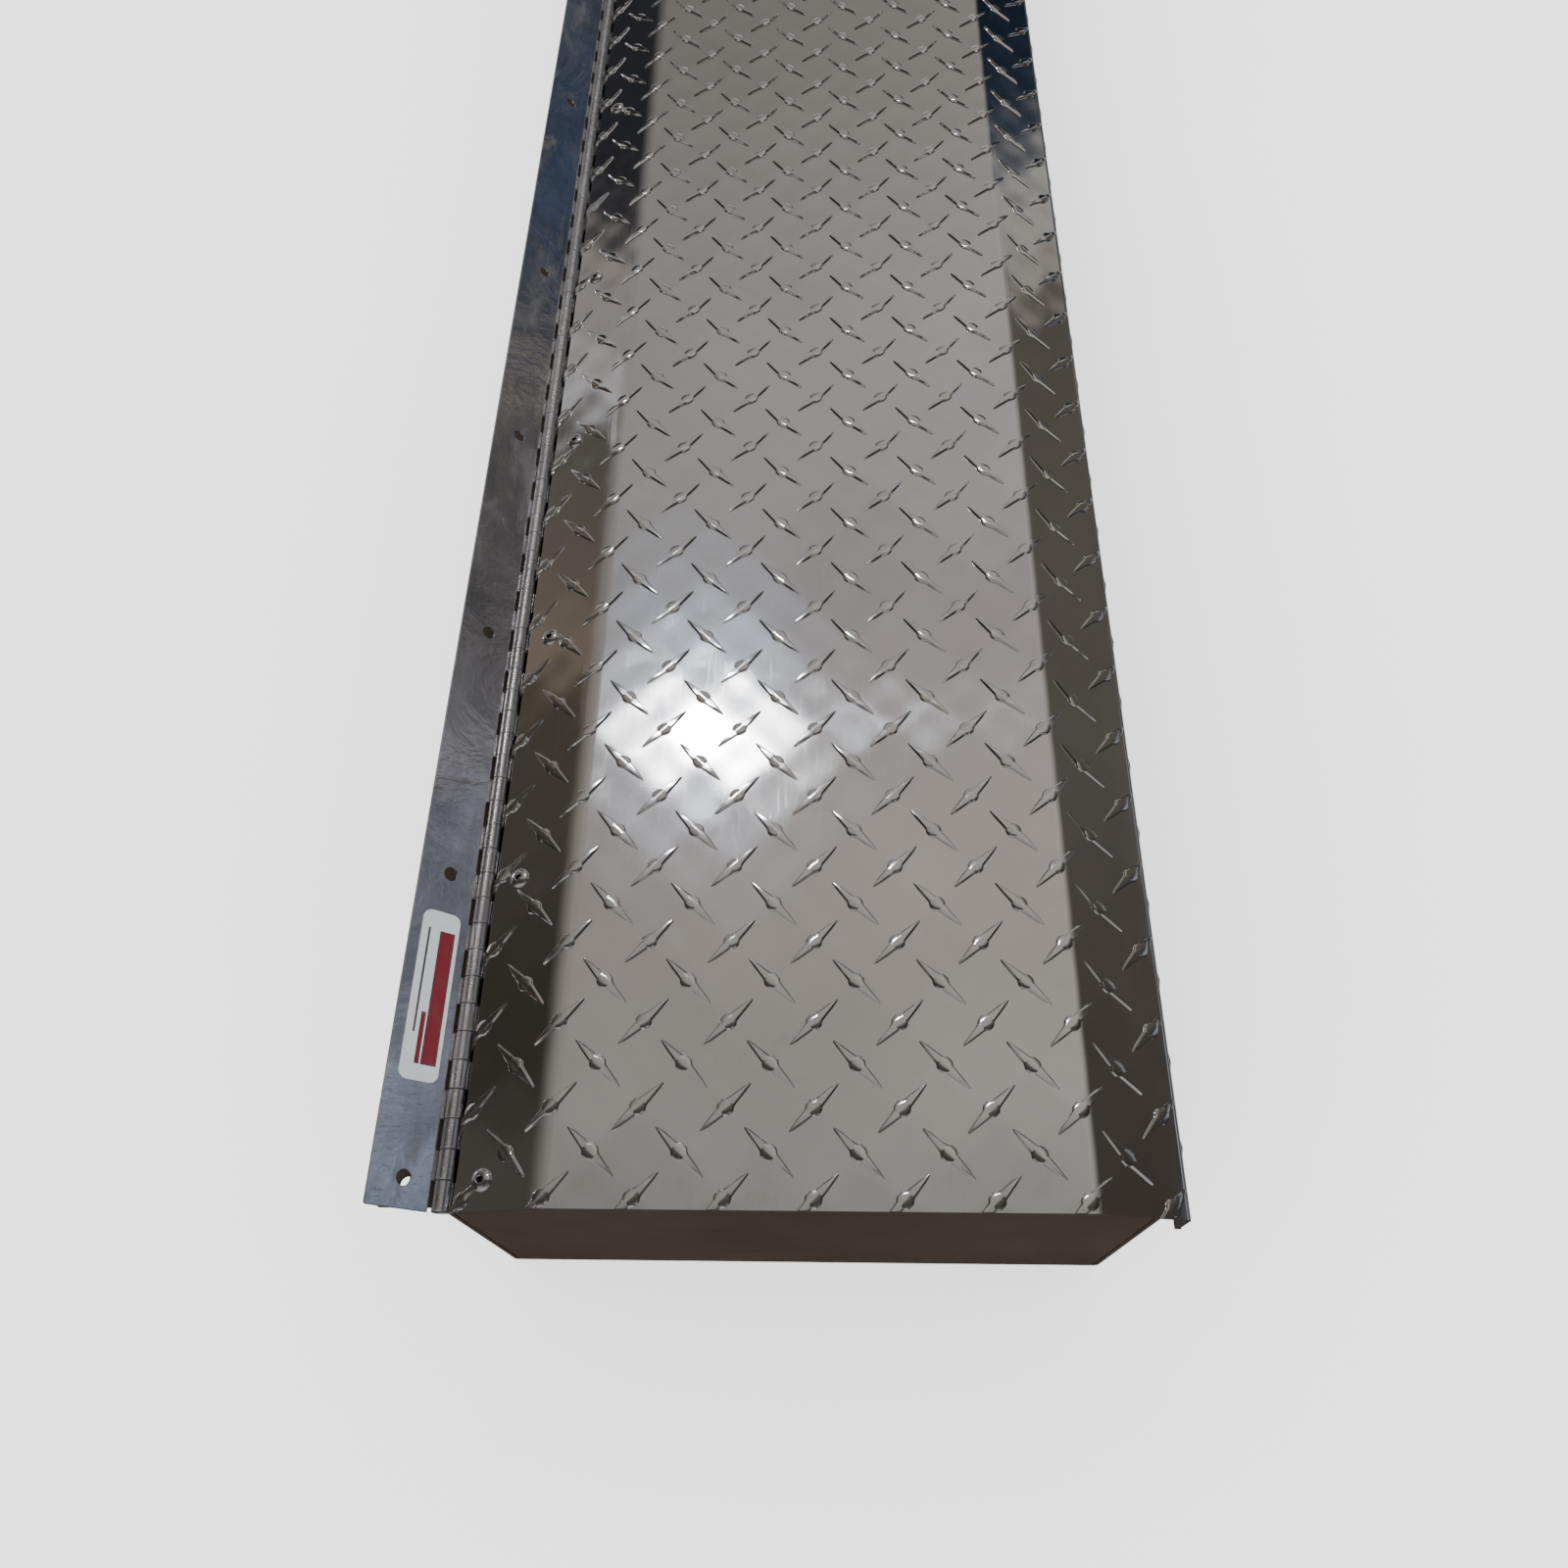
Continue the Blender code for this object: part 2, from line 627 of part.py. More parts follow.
for label, y in latch_stations:
    # Dished pan, its flange, the ears behind it and its pivot holes
    dish = block((PAN_BACK, y - PAN_HALF, PAN_LOW), (flange_face - PAN_WALL / 2, y + PAN_HALF, PAN_HIGH))
    pan = node("latch_pan_" + label, dish, "chrome_latch")
    rim = block(
        (flange_back, y - PAN_HALF - PAN_RIM, PAN_LOW - PAN_RIM),
        (flange_face, y + PAN_HALF + PAN_RIM, PAN_HIGH + PAN_RIM),
    )
    ears = [
        block(
            (hx - 7 * MM, y + side * (PAWL_HALF + EAR_GAP + EAR_T / 2) - EAR_T / 2, hz - 8 * MM),
            (PAN_BACK + PAN_WALL / 2, y + side * (PAWL_HALF + EAR_GAP + EAR_T / 2) + EAR_T / 2, hz + 8 * MM),
        )
        for side in (-1, 1)
    ]
    fuse(pan, rim, *ears)
    cavity = block(
        (PAN_BACK + PAN_WALL, y - pan_cavity, PAN_LOW + PAN_WALL),
        (flange_face + 5 * MM, y + pan_cavity, PAN_HIGH - PAN_WALL),
    )
    slot = block((PAN_BACK - MM, y - 8 * MM, hz - 4 * MM), (PAN_BACK + 3 * MM, y + 8 * MM, hz + 14 * MM))
    ways = [
        rod(LATCH_RIVET_R + FIT_GAP, (FRONT, ry, rz), (flange_face + 2 * MM, ry, rz), SMALL_ROUND)
        for ry, rz in latch_rivet_spots(y)
    ]
    pin_ways = [
        rod(LATCH_BORE_R, (px, y - PAN_HALF - MM, pz), (px, y + PAN_HALF + MM, pz)),
        rod(LATCH_BORE_R, (hx, y - PAN_HALF, hz), (hx, y + PAN_HALF, hz)),
    ]
    cut(pan, cavity, slot, gather(ways), gather(pin_ways))

    # Gasket between the pan's flange and the wall
    gasket_outlines = [
        rectangle(
            y - PAN_HALF - PAN_RIM, y + PAN_HALF + PAN_RIM, PAN_LOW - PAN_RIM, PAN_HIGH + PAN_RIM
        ),
        rectangle(
            y - PAN_HALF - WINDOW_CLEAR,
            y + PAN_HALF + WINDOW_CLEAR,
            PAN_LOW - WINDOW_CLEAR,
            PAN_HIGH + WINDOW_CLEAR,
        ),
    ]
    for spot in latch_rivet_spots(y):
        gasket_outlines.append(ring(spot, LATCH_RIVET_R + FIT_GAP, SMALL_ROUND))
    gasket_back = FRONT + FIT_GAP
    gasket = prism(gasket_outlines, gasket_back, gasket_back + GASKET_T, FACING)
    node("latch_gasket_" + label, gasket, "black_rubber")

    # Rivets that hold the pan
    head = flange_face + FIT_GAP
    tail = FRONT - WALL - FIT_GAP
    for number, (ry, rz) in enumerate(latch_rivet_spots(y), start=1):
        profile = [
            (0, head + 1.4 * MM),
            (LATCH_RIVET_R * 1.9, head),
            (LATCH_RIVET_R, head),
            (LATCH_RIVET_R, tail),
            (LATCH_RIVET_R * 1.5, tail - MM),
            (LATCH_RIVET_R * 0.8, tail - 3 * MM),
            (0, tail - 3 * MM),
        ]
        lay = Matrix.Translation((0, ry, rz)) @ Matrix.Rotation(math.pi / 2, 4, "Y")
        rivet = lathe(profile, SMALL_ROUND, lay)
        round_shading(node("pan_rivet_%s_%d" % (label, number), rivet, "zinc_steel"))

    # Paddle: hub, plate with a turned-out finger lip, and a short tail
    paddle_outline = [
        (px - 3.4 * MM, pz - 3.4 * MM),
        (px - PADDLE_HUB_R, pz - MM),
        (tail_tip, pz - 2 * MM),
        (tail_tip, pz + 0.5 * MM),
        (px - PADDLE_HUB_R, pz + 1.6 * MM),
        (px - 3.4 * MM, pz + 3.4 * MM),
        (px, pz + PADDLE_HUB_R),
        (px + 3.2 * MM, pz + 3.4 * MM),
        (paddle_face, pz),
        (paddle_face, PADDLE_LOW + 6 * MM),
        (paddle_face + 3 * MM, PADDLE_LOW + MM),
        (paddle_face + MM, PADDLE_LOW),
        (paddle_back, PADDLE_LOW + 5 * MM),
        (paddle_back, pz - PADDLE_HUB_R - MM),
        (px - MM, pz - PADDLE_HUB_R),
    ]
    plate = prism(
        [paddle_outline, ring(PADDLE_PIVOT, LATCH_BORE_R, SMALL_ROUND)], y - PADDLE_HALF, y + PADDLE_HALF
    )
    paddle = node("latch_paddle_" + label, plate, "chrome_latch", (px, y, pz))
    beside = [
        block(
            (tail_tip - MM, y - PADDLE_HALF - MM, pz - 4 * MM),
            (px - PADDLE_HUB_R - FIT_GAP, y - TAIL_HALF, pz + 4 * MM),
        ),
        block(
            (tail_tip - MM, y + TAIL_HALF, pz - 4 * MM),
            (px - PADDLE_HUB_R - FIT_GAP, y + PADDLE_HALF + MM, pz + 4 * MM),
        ),
    ]
    lock_way = rod(
        LOCK_R + FIT_GAP, (paddle_back - 3 * MM, y, LOCK_Z), (paddle_face + 3 * MM, y, LOCK_Z), LOCK_ROUND
    )
    cut(paddle, gather(beside), lock_way)

    # Pins
    paddle_pin = rod(LATCH_PIN_R, (px, y - PAN_HALF, pz), (px, y + PAN_HALF, pz))
    round_shading(node("paddle_pin_" + label, paddle_pin, "zinc_steel"))
    reach = PAWL_HALF + EAR_GAP + EAR_T + MM
    pawl_pin = rod(LATCH_PIN_R, (hx, y - reach, hz), (hx, y + reach, hz))
    round_shading(node("pawl_pin_" + label, pawl_pin, "zinc_steel"))

    # Pawl
    hook_outline = [(hx + u, hz + v) for u, v in hook]
    claw = prism([hook_outline, ring(PAWL_PIVOT, LATCH_BORE_R, SMALL_ROUND)], y - PAWL_HALF, y + PAWL_HALF)
    pawl = node("latch_pawl_" + label, claw, "zinc_steel", (hx, y, hz))
    sides = [
        block((hx + 4.2 * MM, y - PAWL_HALF - MM, hz - 2 * MM), (hx + 12 * MM, y - TAIL_HALF, hz + 10 * MM)),
        block((hx + 4.2 * MM, y + TAIL_HALF, hz - 2 * MM), (hx + 12 * MM, y + PAWL_HALF + MM, hz + 10 * MM)),
    ]
    cut(pawl, gather(sides))

    # Lock cylinder with a face rim and a key slot
    lock_profile = [
        (0, paddle_face + LOCK_RIM),
        (LOCK_R + LOCK_RIM, paddle_face + LOCK_RIM),
        (LOCK_R + LOCK_RIM, paddle_face + FIT_GAP),
        (LOCK_R, paddle_face + FIT_GAP),
        (LOCK_R, paddle_back - LOCK_TAIL),
        (0, paddle_back - LOCK_TAIL),
    ]
    lay = Matrix.Translation((0, y, LOCK_Z)) @ Matrix.Rotation(math.pi / 2, 4, "Y")
    barrel = lathe(lock_profile, LOCK_ROUND, lay)
    lock = node("lock_cylinder_" + label, barrel, "lock_brass", (paddle_face, y, LOCK_Z))
    key_way = block(
        (paddle_face - 3 * MM, y - KEY_HALF[0], LOCK_Z - KEY_HALF[1]),
        (paddle_face + 4 * MM, y + KEY_HALF[0], LOCK_Z + KEY_HALF[1]),
    )
    cut(lock, key_way)

    # Striker bonded under the lid
    web_left, web_right = hx - 13 * MM, hx - 11 * MM
    striker_top = under
    striker = [
        (web_left - 22 * MM, striker_top),
        (web_right, striker_top),
        (web_right, hook_foot_z - FIT_GAP),
        (hx - 2.5 * MM, hook_foot_z - FIT_GAP),
        (hx - 2.5 * MM, hook_foot_z - FIT_GAP - STRIKER_T),
        (web_left, hook_foot_z - FIT_GAP - STRIKER_T),
        (web_left, striker_top - STRIKER_T),
        (web_left - 22 * MM, striker_top - STRIKER_T),
    ]
    node("striker_" + label, prism([striker], y - STRIKER_HALF, y + STRIKER_HALF), "zinc_steel", HINGE)

# Gas struts
base = Vector((AX + STRUT_BASE[0], 0, AZ + STRUT_BASE[1]))
stud = Vector((AX + STRUT_STUD[0], 0, AZ + STRUT_STUD[1]))
run = stud - base
lean = math.atan2(run.x, run.z)
PLATE_T = 2.5 * MM
FOOT_HALF = 16 * MM
FOOT_PROUD = 0.05 * MM
for label, sign in (("near", -1), ("far", 1)):
    y = sign * STRUT_Y
    stance = Matrix.Translation((base.x, y, base.z)) @ Matrix.Rotation(lean, 4, "Y")
    foot = (base.x, y, base.z)
    tube_profile = [
        (0, EYE_R + TUBE_FLOOR),
        (TUBE_BORE_R, EYE_R + TUBE_FLOOR),
        (TUBE_BORE_R, TUBE_L),
        (TUBE_R, TUBE_L),
        (TUBE_R, EYE_R),
        (0, EYE_R),
    ]
    tube = lathe(tube_profile, ROUND, stance)
    cylinder = node("strut_cylinder_" + label, tube, "black_steel", foot)
    eye = prism(
        [
            [
                (-EYE_R, 0),
                (-EYE_R * DIAGONAL, -EYE_R * DIAGONAL),
                (0, -EYE_R),
                (EYE_R * DIAGONAL, -EYE_R * DIAGONAL),
                (EYE_R, 0),
                (EYE_R, EYE_R + EYE_LAP),
                (-EYE_R, EYE_R + EYE_LAP),
            ],
            ring((0, 0), STUD_R + FIT_GAP, ROUND),
        ],
        -EYE_HALF,
        EYE_HALF,
    )
    eye.transform(stance)
    fuse(cylinder, eye)
    round_shading(cylinder)

    length = run.length
    shaft = rod(ROD_R, (0, 0, EYE_R + ROD_START), (0, 0, length - EYE_R + MM))
    shaft.transform(stance)
    tip = stance @ Vector((0, 0, length))
    rod_node = node("strut_rod_" + label, shaft, "polished_steel", tuple(tip))
    rod_eye = prism(
        [ring((0, length), EYE_R, ROUND), ring((0, length), STUD_R + FIT_GAP, ROUND)], -EYE_HALF, EYE_HALF
    )
    rod_eye.transform(stance)
    fuse(rod_node, rod_eye)
    round_shading(rod_node)

    # Base bracket on the end panel: plate and stud
    wall_y = sign * (TUB_HALF - WALL - FIT_GAP)
    plate_y = wall_y - sign * PLATE_T
    low_y, high_y = sorted((wall_y, plate_y))
    half_wide, half_tall = BASE_PLATE_HALF
    base_plate = prism(
        [rectangle(base.x - half_wide, base.x + half_wide, base.z - half_tall, base.z + half_tall)],
        low_y,
        high_y,
    )
    bracket = node("strut_base_bracket_" + label, base_plate, "zinc_steel")
    fuse(
        bracket,
        rod(
            STUD_R,
            (base.x, plate_y + sign * MM, base.z),
            (base.x, y - sign * (EYE_HALF + 2 * MM), base.z),
        ),
    )

    # Lid bracket: bonded foot, web and short stud
    web_y = y + sign * LID_WEB_REACH
    web_in = web_y - sign * PLATE_T
    arm = [
        (stud.x - 14 * MM, under),
        (stud.x + 14 * MM, under),
        (stud.x + 14 * MM, under - 8 * MM),
        (stud.x + 8 * MM, stud.z - 9 * MM),
        (stud.x - 8 * MM, stud.z - 9 * MM),
        (stud.x - 14 * MM, under - 8 * MM),
    ]
    low_y, high_y = sorted((web_y, web_in))
    lid_bracket = node("strut_lid_bracket_" + label, prism([arm], low_y, high_y), "zinc_steel", HINGE)
    foot_low, foot_high = sorted((web_y - sign * MM, y - sign * 12 * MM))
    short_stud = rod(
        STUD_R, (stud.x, web_in + sign * MM, stud.z), (stud.x, y + sign * (EYE_HALF + FIT_GAP), stud.z)
    )
    fuse(
        lid_bracket,
        block(
            (stud.x - FOOT_HALF, foot_low, under - PLATE_T),
            (stud.x + FOOT_HALF, foot_high, under + FOOT_PROUD),
        ),
        short_stud,
    )
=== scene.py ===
import math

import bmesh
import bpy
from mathutils import Matrix, Vector


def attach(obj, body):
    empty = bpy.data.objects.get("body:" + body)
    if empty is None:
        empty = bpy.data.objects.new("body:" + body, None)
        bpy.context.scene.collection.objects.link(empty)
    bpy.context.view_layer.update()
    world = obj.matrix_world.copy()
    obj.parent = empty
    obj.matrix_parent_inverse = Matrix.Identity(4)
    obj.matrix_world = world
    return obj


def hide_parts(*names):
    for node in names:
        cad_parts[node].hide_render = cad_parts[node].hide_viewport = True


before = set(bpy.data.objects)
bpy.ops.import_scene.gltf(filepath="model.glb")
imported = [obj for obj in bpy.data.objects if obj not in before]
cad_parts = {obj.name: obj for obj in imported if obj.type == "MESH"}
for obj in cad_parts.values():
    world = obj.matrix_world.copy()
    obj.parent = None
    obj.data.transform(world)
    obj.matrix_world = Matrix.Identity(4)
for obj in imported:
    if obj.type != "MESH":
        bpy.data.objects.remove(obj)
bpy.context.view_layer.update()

MM = 0.001

# -------- sizes, as in the CAD model
KNUCKLE = 12.7 * MM
KNUCKLE_COUNT = 101
PLAY = 0.3 * MM
HALF = KNUCKLE * KNUCKLE_COUNT / 2
BARREL_R = 3.8 * MM
LEAF_T = 1.5 * MM
LID_LEAF_W = 32 * MM
MOUNT_LEAF_W = 32 * MM
SLOT_DEPTH = 0.9 * MM
PIN_R = 1.9 * MM
LEAF_TILT = math.radians(42)
END_MARGIN = 12.35 * MM
FIX_PITCH = 136 * MM
GROUP_SIZE = 5
HOLE_R = 3.25 * MM
HOLE_REACH = 17 * MM
RIVET_REACH = 17.6 * MM
LID_TOP = 165 * MM
LID_T = 2 * MM
LID_LEFT = -151.3 * MM
BEND_LEFT = -114.6 * MM
BEND_RIGHT = 110.7 * MM
LID_RIGHT = 149.6 * MM
SLOPE = math.radians(17.5)
LIP = 22 * MM
EDGE_REACH = 5.2 * MM
BOND_GAP = 0.2 * MM
TREAD_PITCH = 36.6 * MM
LATTICE_X = -94.3 * MM
LATTICE_Y = -618.66 * MM

# -------- camera
FOCAL_MM = 28.63
PITCH, YAW, ROLL = 61.29, 3.84, 3.44
EYE = (1.7 * MM, -730.2 * MM, 681.9 * MM)


def show(name, data):
    obj = bpy.data.objects.new(name, data)
    bpy.context.scene.collection.objects.link(obj)
    return obj


def aim_camera():
    data = bpy.data.cameras.new("camera")
    data.lens = FOCAL_MM
    data.sensor_width = 36
    data.clip_end = 50
    cam = show("camera", data)
    ahead, up, right = Vector((0, 1, 0)), Vector((0, 0, 1)), Vector((1, 0, 0))
    turn = Matrix.Rotation(math.radians(YAW), 3, up)
    ahead, right = turn @ ahead, turn @ right
    turn = Matrix.Rotation(math.radians(-PITCH), 3, right)
    ahead, up = turn @ ahead, turn @ up
    turn = Matrix.Rotation(math.radians(ROLL), 3, ahead)
    up, right = turn @ up, turn @ right
    pose = Matrix((right, up, -ahead)).transposed().to_4x4()
    pose.translation = EYE
    cam.matrix_world = pose
    bpy.context.scene.camera = cam


aim_camera()

# -------- node-material helpers
# The Mix node's factor and its colour sockets, which share their names with others
MIX_FACTOR, MIX_A, MIX_B, MIX_RESULT = 0, 6, 7, 2


def feed(tree, socket, value):
    """Wire a socket to a node's output, or set it; None leaves it alone."""
    if isinstance(value, bpy.types.NodeSocket):
        tree.links.new(value, socket)
    elif value is not None:
        socket.default_value = value


def add(tree, kind, inputs, output, **settings):
    """One shader node with its inputs fed; returns one of its outputs."""
    node = tree.nodes.new("ShaderNode" + kind)
    for key, value in settings.items():
        setattr(node, key, value)
    for key, value in inputs.items():
        feed(tree, node.inputs[key], value)
    return node.outputs[output]


def new_material(name):
    mat = bpy.data.materials.new(name)
    mat.use_nodes = True
    return mat, mat.node_tree, add(mat.node_tree, "TexCoord", {}, "Object")


def coat(mat, colour, rough, normal, metallic=0.0):
    """Feed a material's shader."""
    tree = mat.node_tree
    sockets = tree.nodes["Principled BSDF"].inputs
    feed(tree, sockets["Base Color"], colour)
    feed(tree, sockets["Roughness"], rough)
    feed(tree, sockets["Normal"], normal)
    sockets["Metallic"].default_value = metallic
    return mat


def stretched(tree, vector, scale, rotation=None):
    return add(tree, "Mapping", {"Vector": vector, "Rotation": rotation, "Scale": scale}, "Vector")


def part_of(tree, vector, axis):
    return add(tree, "SeparateXYZ", {"Vector": vector}, axis)


def noise(tree, vector, scale, detail=3.0, rough=0.5, distort=0.0):
    inputs = {"Vector": vector, "Scale": scale, "Detail": detail, "Roughness": rough, "Distortion": distort}
    return add(tree, "TexNoise", inputs, "Fac")


def remap(tree, value, low_in, high_in, low_out, high_out):
    inputs = {"Value": value, "From Min": low_in, "From Max": high_in, "To Min": low_out, "To Max": high_out}
    return add(tree, "MapRange", inputs, "Result")


def maths(tree, operation, a, b=None):
    return add(tree, "Math", {0: a, 1: b}, "Value", operation=operation)


def mix_colour(tree, factor, a, b):
    a, b = [(*c, 1) if isinstance(c, tuple) else c for c in (a, b)]
    return add(tree, "Mix", {MIX_FACTOR: factor, MIX_A: a, MIX_B: b}, MIX_RESULT, data_type="RGBA")


def bumps(tree, *layers):
    """Bump layers (height, strength, distance), each laid over the ones before it."""
    normal = None
    for height, strength, distance in layers:
        inputs = {"Height": height, "Strength": strength, "Distance": distance, "Normal": normal}
        normal = add(tree, "Bump", inputs, "Normal")
    return normal


def bright_metal(name, tint, stain, rough, ripple, grain=(1.0, 0.08, 1.0), scuff=0.5):
    """Rolled or polished metal: stains, smudges, fine scratches and a slight ripple."""
    mat, tree, here = new_material(name)
    cloud = noise(tree, here, 14, 4, 0.55, 0.6)
    smudge = noise(tree, here, 55, 5, 0.6, 0.3)
    lines = noise(tree, stretched(tree, here, grain), 900, 3, 0.6)
    fine = noise(tree, here, 420, 3, 0.6)
    body = mix_colour(tree, remap(tree, cloud, 0.35, 0.75, 0, 1), tint, stain)
    smear = remap(tree, smudge, 0.45, 0.8, 0, scuff)
    marks = maths(tree, "ADD", smear, remap(tree, lines, 0.5, 0.8, 0, scuff * 0.5))
    spread = maths(tree, "ADD", rough, maths(tree, "MULTIPLY", marks, rough * 1.3))
    layers = (cloud, ripple, 1.2 * MM), (lines, 0.045 * scuff, 0.05 * MM), (fine, 0.02, 0.05 * MM)
    return coat(mat, body, spread, bumps(tree, *layers), 1.0)


def painted(name, tint, wear, rough, grain_scale=700):
    """Powder coat: fine orange peel, dust and slightly varied gloss."""
    mat, tree, here = new_material(name)
    peel = noise(tree, here, grain_scale, 3, 0.5)
    cloud = noise(tree, here, 9, 5, 0.6, 0.4)
    body = mix_colour(tree, remap(tree, cloud, 0.35, 0.8, 0, 0.7), tint, wear)
    gloss = remap(tree, cloud, 0.3, 0.8, rough * 0.85, rough * 1.25)
    return coat(mat, body, gloss, bumps(tree, (peel, 0.12, 0.15 * MM)))


def matt(name, tint, other, rough, scale, depth):
    """Rubber or floor: a fine speck in the colour, the gloss and the height."""
    mat, tree, here = new_material(name)
    speck = noise(tree, here, scale, 4, 0.6)
    gloss = remap(tree, speck, 0.3, 0.7, rough * 0.9, min(1.0, rough * 1.1))
    return coat(mat, mix_colour(tree, speck, tint, other), gloss, bumps(tree, (speck, 0.2, depth)))


def tread_metal():
    """Bright rolled tread: fine grain, faint stains, and the dish each lug leaves in the sheet."""
    mat, tree, here = new_material("tread_aluminium")
    cloud = noise(tree, here, 11, 4, 0.55, 0.6)
    smudge = noise(tree, here, 60, 5, 0.65, 0.4)
    lines = noise(tree, stretched(tree, here, (1.0, 0.06, 1.0)), 750, 3, 0.6)
    grain = noise(tree, here, 1500, 2, 0.6)
    wave = noise(tree, here, 24, 2, 0.5)

    def ripple(axis, start):
        past = maths(tree, "SUBTRACT", part_of(tree, here, axis), start)
        return maths(tree, "COSINE", maths(tree, "MULTIPLY", past, 2 * math.pi / TREAD_PITCH))

    dish = maths(tree, "MULTIPLY", ripple("X", LATTICE_X), ripple("Y", LATTICE_Y))
    body = mix_colour(tree, remap(tree, cloud, 0.35, 0.75, 0, 1), (0.85, 0.84, 0.825), (0.79, 0.78, 0.765))
    smear = remap(tree, smudge, 0.55, 0.85, 0, 0.5)
    grime = maths(tree, "MULTIPLY", smear, remap(tree, cloud, 0.45, 0.7, 0, 1))
    body = mix_colour(tree, grime, body, (0.60, 0.58, 0.55))
    rubbed = remap(tree, smudge, 0.5, 0.8, 0, 0.05)
    marks = maths(tree, "ADD", rubbed, remap(tree, lines, 0.55, 0.8, 0, 0.05))
    swells = (dish, 1.0, 0.048 * MM), (wave, 1.0, 0.09 * MM)
    normal = bumps(tree, *swells, (lines, 0.05, 0.05 * MM), (grain, 0.16, 0.02 * MM))
    return coat(mat, body, maths(tree, "ADD", marks, 0.07), normal, 1.0)


def leaf_metal():
    """Mill-finish strip: drawn lines along it, cross scratches, cloudy oxide and dents."""
    mat, tree, here = new_material("leaf_aluminium")
    cloud = noise(tree, here, 16, 5, 0.62, 0.8)
    patch = noise(tree, stretched(tree, here, (1.0, 0.35, 1.0)), 55, 5, 0.65, 0.5)
    drawn = noise(tree, stretched(tree, here, (1.0, 0.02, 1.0)), 520, 3, 0.6)
    slant = stretched(tree, here, (0.05, 1.0, 0.3), (0, 0, math.radians(38)))
    cut = remap(tree, noise(tree, slant, 900, 2, 0.5), 0.66, 0.74, 0, 1)
    speck = noise(tree, here, 800, 3, 0.6)
    body = mix_colour(tree, remap(tree, cloud, 0.35, 0.65, 0, 1), (0.92, 0.93, 0.96), (0.55, 0.56, 0.60))
    body = mix_colour(tree, remap(tree, patch, 0.56, 0.66, 0, 0.8), body, (0.97, 0.98, 1.0))
    worn = remap(tree, patch, 0.5, 0.7, 0, 0.30)
    dull = maths(tree, "ADD", worn, remap(tree, drawn, 0.45, 0.75, 0, 0.06))
    layers = (
        (cloud, 1.0, 0.8 * MM), (patch, 0.5, 0.10 * MM), (drawn, 0.12, 0.06 * MM),
        (cut, 0.5, 0.05 * MM), (speck, 0.10, 0.02 * MM),
    )
    return coat(mat, body, maths(tree, "ADD", dull, 0.10), bumps(tree, *layers), 1.0)


TREAD = tread_metal()
LEAF = leaf_metal()
ALONG = (1.0, 0.15, 1.0)
BARREL = bright_metal("barrel_aluminium", (0.84, 0.84, 0.85), (0.62, 0.62, 0.63), 0.24, 0.04, ALONG, 1.0)
RIVET = bright_metal("rivet_aluminium", (0.86, 0.86, 0.86), (0.75, 0.75, 0.75), 0.12, 0.02)
ZINC = bright_metal("zinc_steel", (0.62, 0.63, 0.66), (0.50, 0.51, 0.52), 0.32, 0.03, (1.0, 1.0, 1.0), 1.0)
CHROME = bright_metal("plated_latch", (0.80, 0.81, 0.83), (0.76, 0.77, 0.79), 0.09, 0.01)
SHAFT = bright_metal("ground_shaft", (0.80, 0.81, 0.82), (0.74, 0.75, 0.77), 0.12, 0.0, (0.1, 1.0, 0.1))
BRASS = bright_metal("lock_brass", (0.80, 0.62, 0.33), (0.66, 0.48, 0.24), 0.2, 0.02)
ACROSS = (0.06, 1.0, 1.0)
STAY = bright_metal("stiffener_aluminium", (0.80, 0.80, 0.80), (0.70, 0.70, 0.70), 0.30, 0.02, ACROSS, 0.3)
MILLED = (1.0, 0.05, 1.0)
MILL = bright_metal("mill_aluminium", (0.80, 0.80, 0.80), (0.66, 0.66, 0.67), 0.30, 0.03, MILLED, 1.0)
# Very dark steel for the mandrel end and the lower bore walls round it: a real steel mandrel, darkened as
# painted shade for the recess
MANDREL_AND_PAINTED_SHADE = bright_metal("mandrel_steel_and_painted_shade", (0.16, 0.16, 0.17), (0.08, 0.08, 0.08), 0.45, 0.02)
PAINT = painted("tub_paint", (0.026, 0.018, 0.013), (0.042, 0.031, 0.023), 0.40)
BLACK = painted("black_tube", (0.012, 0.012, 0.013), (0.03, 0.03, 0.032), 0.3, 1200)
RUBBER = matt("seal_rubber", (0.018, 0.018, 0.018), (0.04, 0.04, 0.04), 0.8, 900, 0.1 * MM)

# -------- shared geometry helpers
strip_dir = Vector((math.cos(SLOPE), 0, math.sin(SLOPE)))
strip_up = Vector((-math.sin(SLOPE), 0, math.cos(SLOPE)))
lid_edge = Vector((LID_LEFT, 0, LID_TOP - (BEND_LEFT - LID_LEFT) * math.tan(SLOPE)))
heel = lid_edge - strip_up * (LID_T + BOND_GAP + LEAF_T) - strip_dir * EDGE_REACH
AXIS = heel + strip_up * BARREL_R


def leaf_frame(direction, up):
    """u away from the axis along the leaf, v towards the barrel, w along the box."""
    origin = AXIS - up * BARREL_R
    rows = (direction.x, up.x, 0, origin.x), (direction.y, up.y, 1, 0), (direction.z, up.z, 0, origin.z)
    return Matrix((*rows, (0, 0, 0, 1)))


LID_FRAME = leaf_frame(strip_dir, strip_up)
tilt_cos, tilt_sin = math.cos(LEAF_TILT), math.sin(LEAF_TILT)
TILT_FRAME = leaf_frame(Vector((-tilt_cos, 0, tilt_sin)), Vector((tilt_sin, 0, tilt_cos)))


def laid(height):
    """Lays a flat outline (u, w) in a leaf's frame at a height over its underside."""
    return Matrix(((1, 0, 0, 0), (0, 0, 1, height), (0, 1, 0, 0), (0, 0, 0, 1)))


def stations():
    group = [HALF - END_MARGIN - k * FIX_PITCH for k in range(GROUP_SIZE)]
    return sorted([-y for y in group] + group)


def smooth(mesh, degrees):
    mesh.shade_smooth()
    mesh.set_sharp_from_angle(angle=math.radians(degrees))


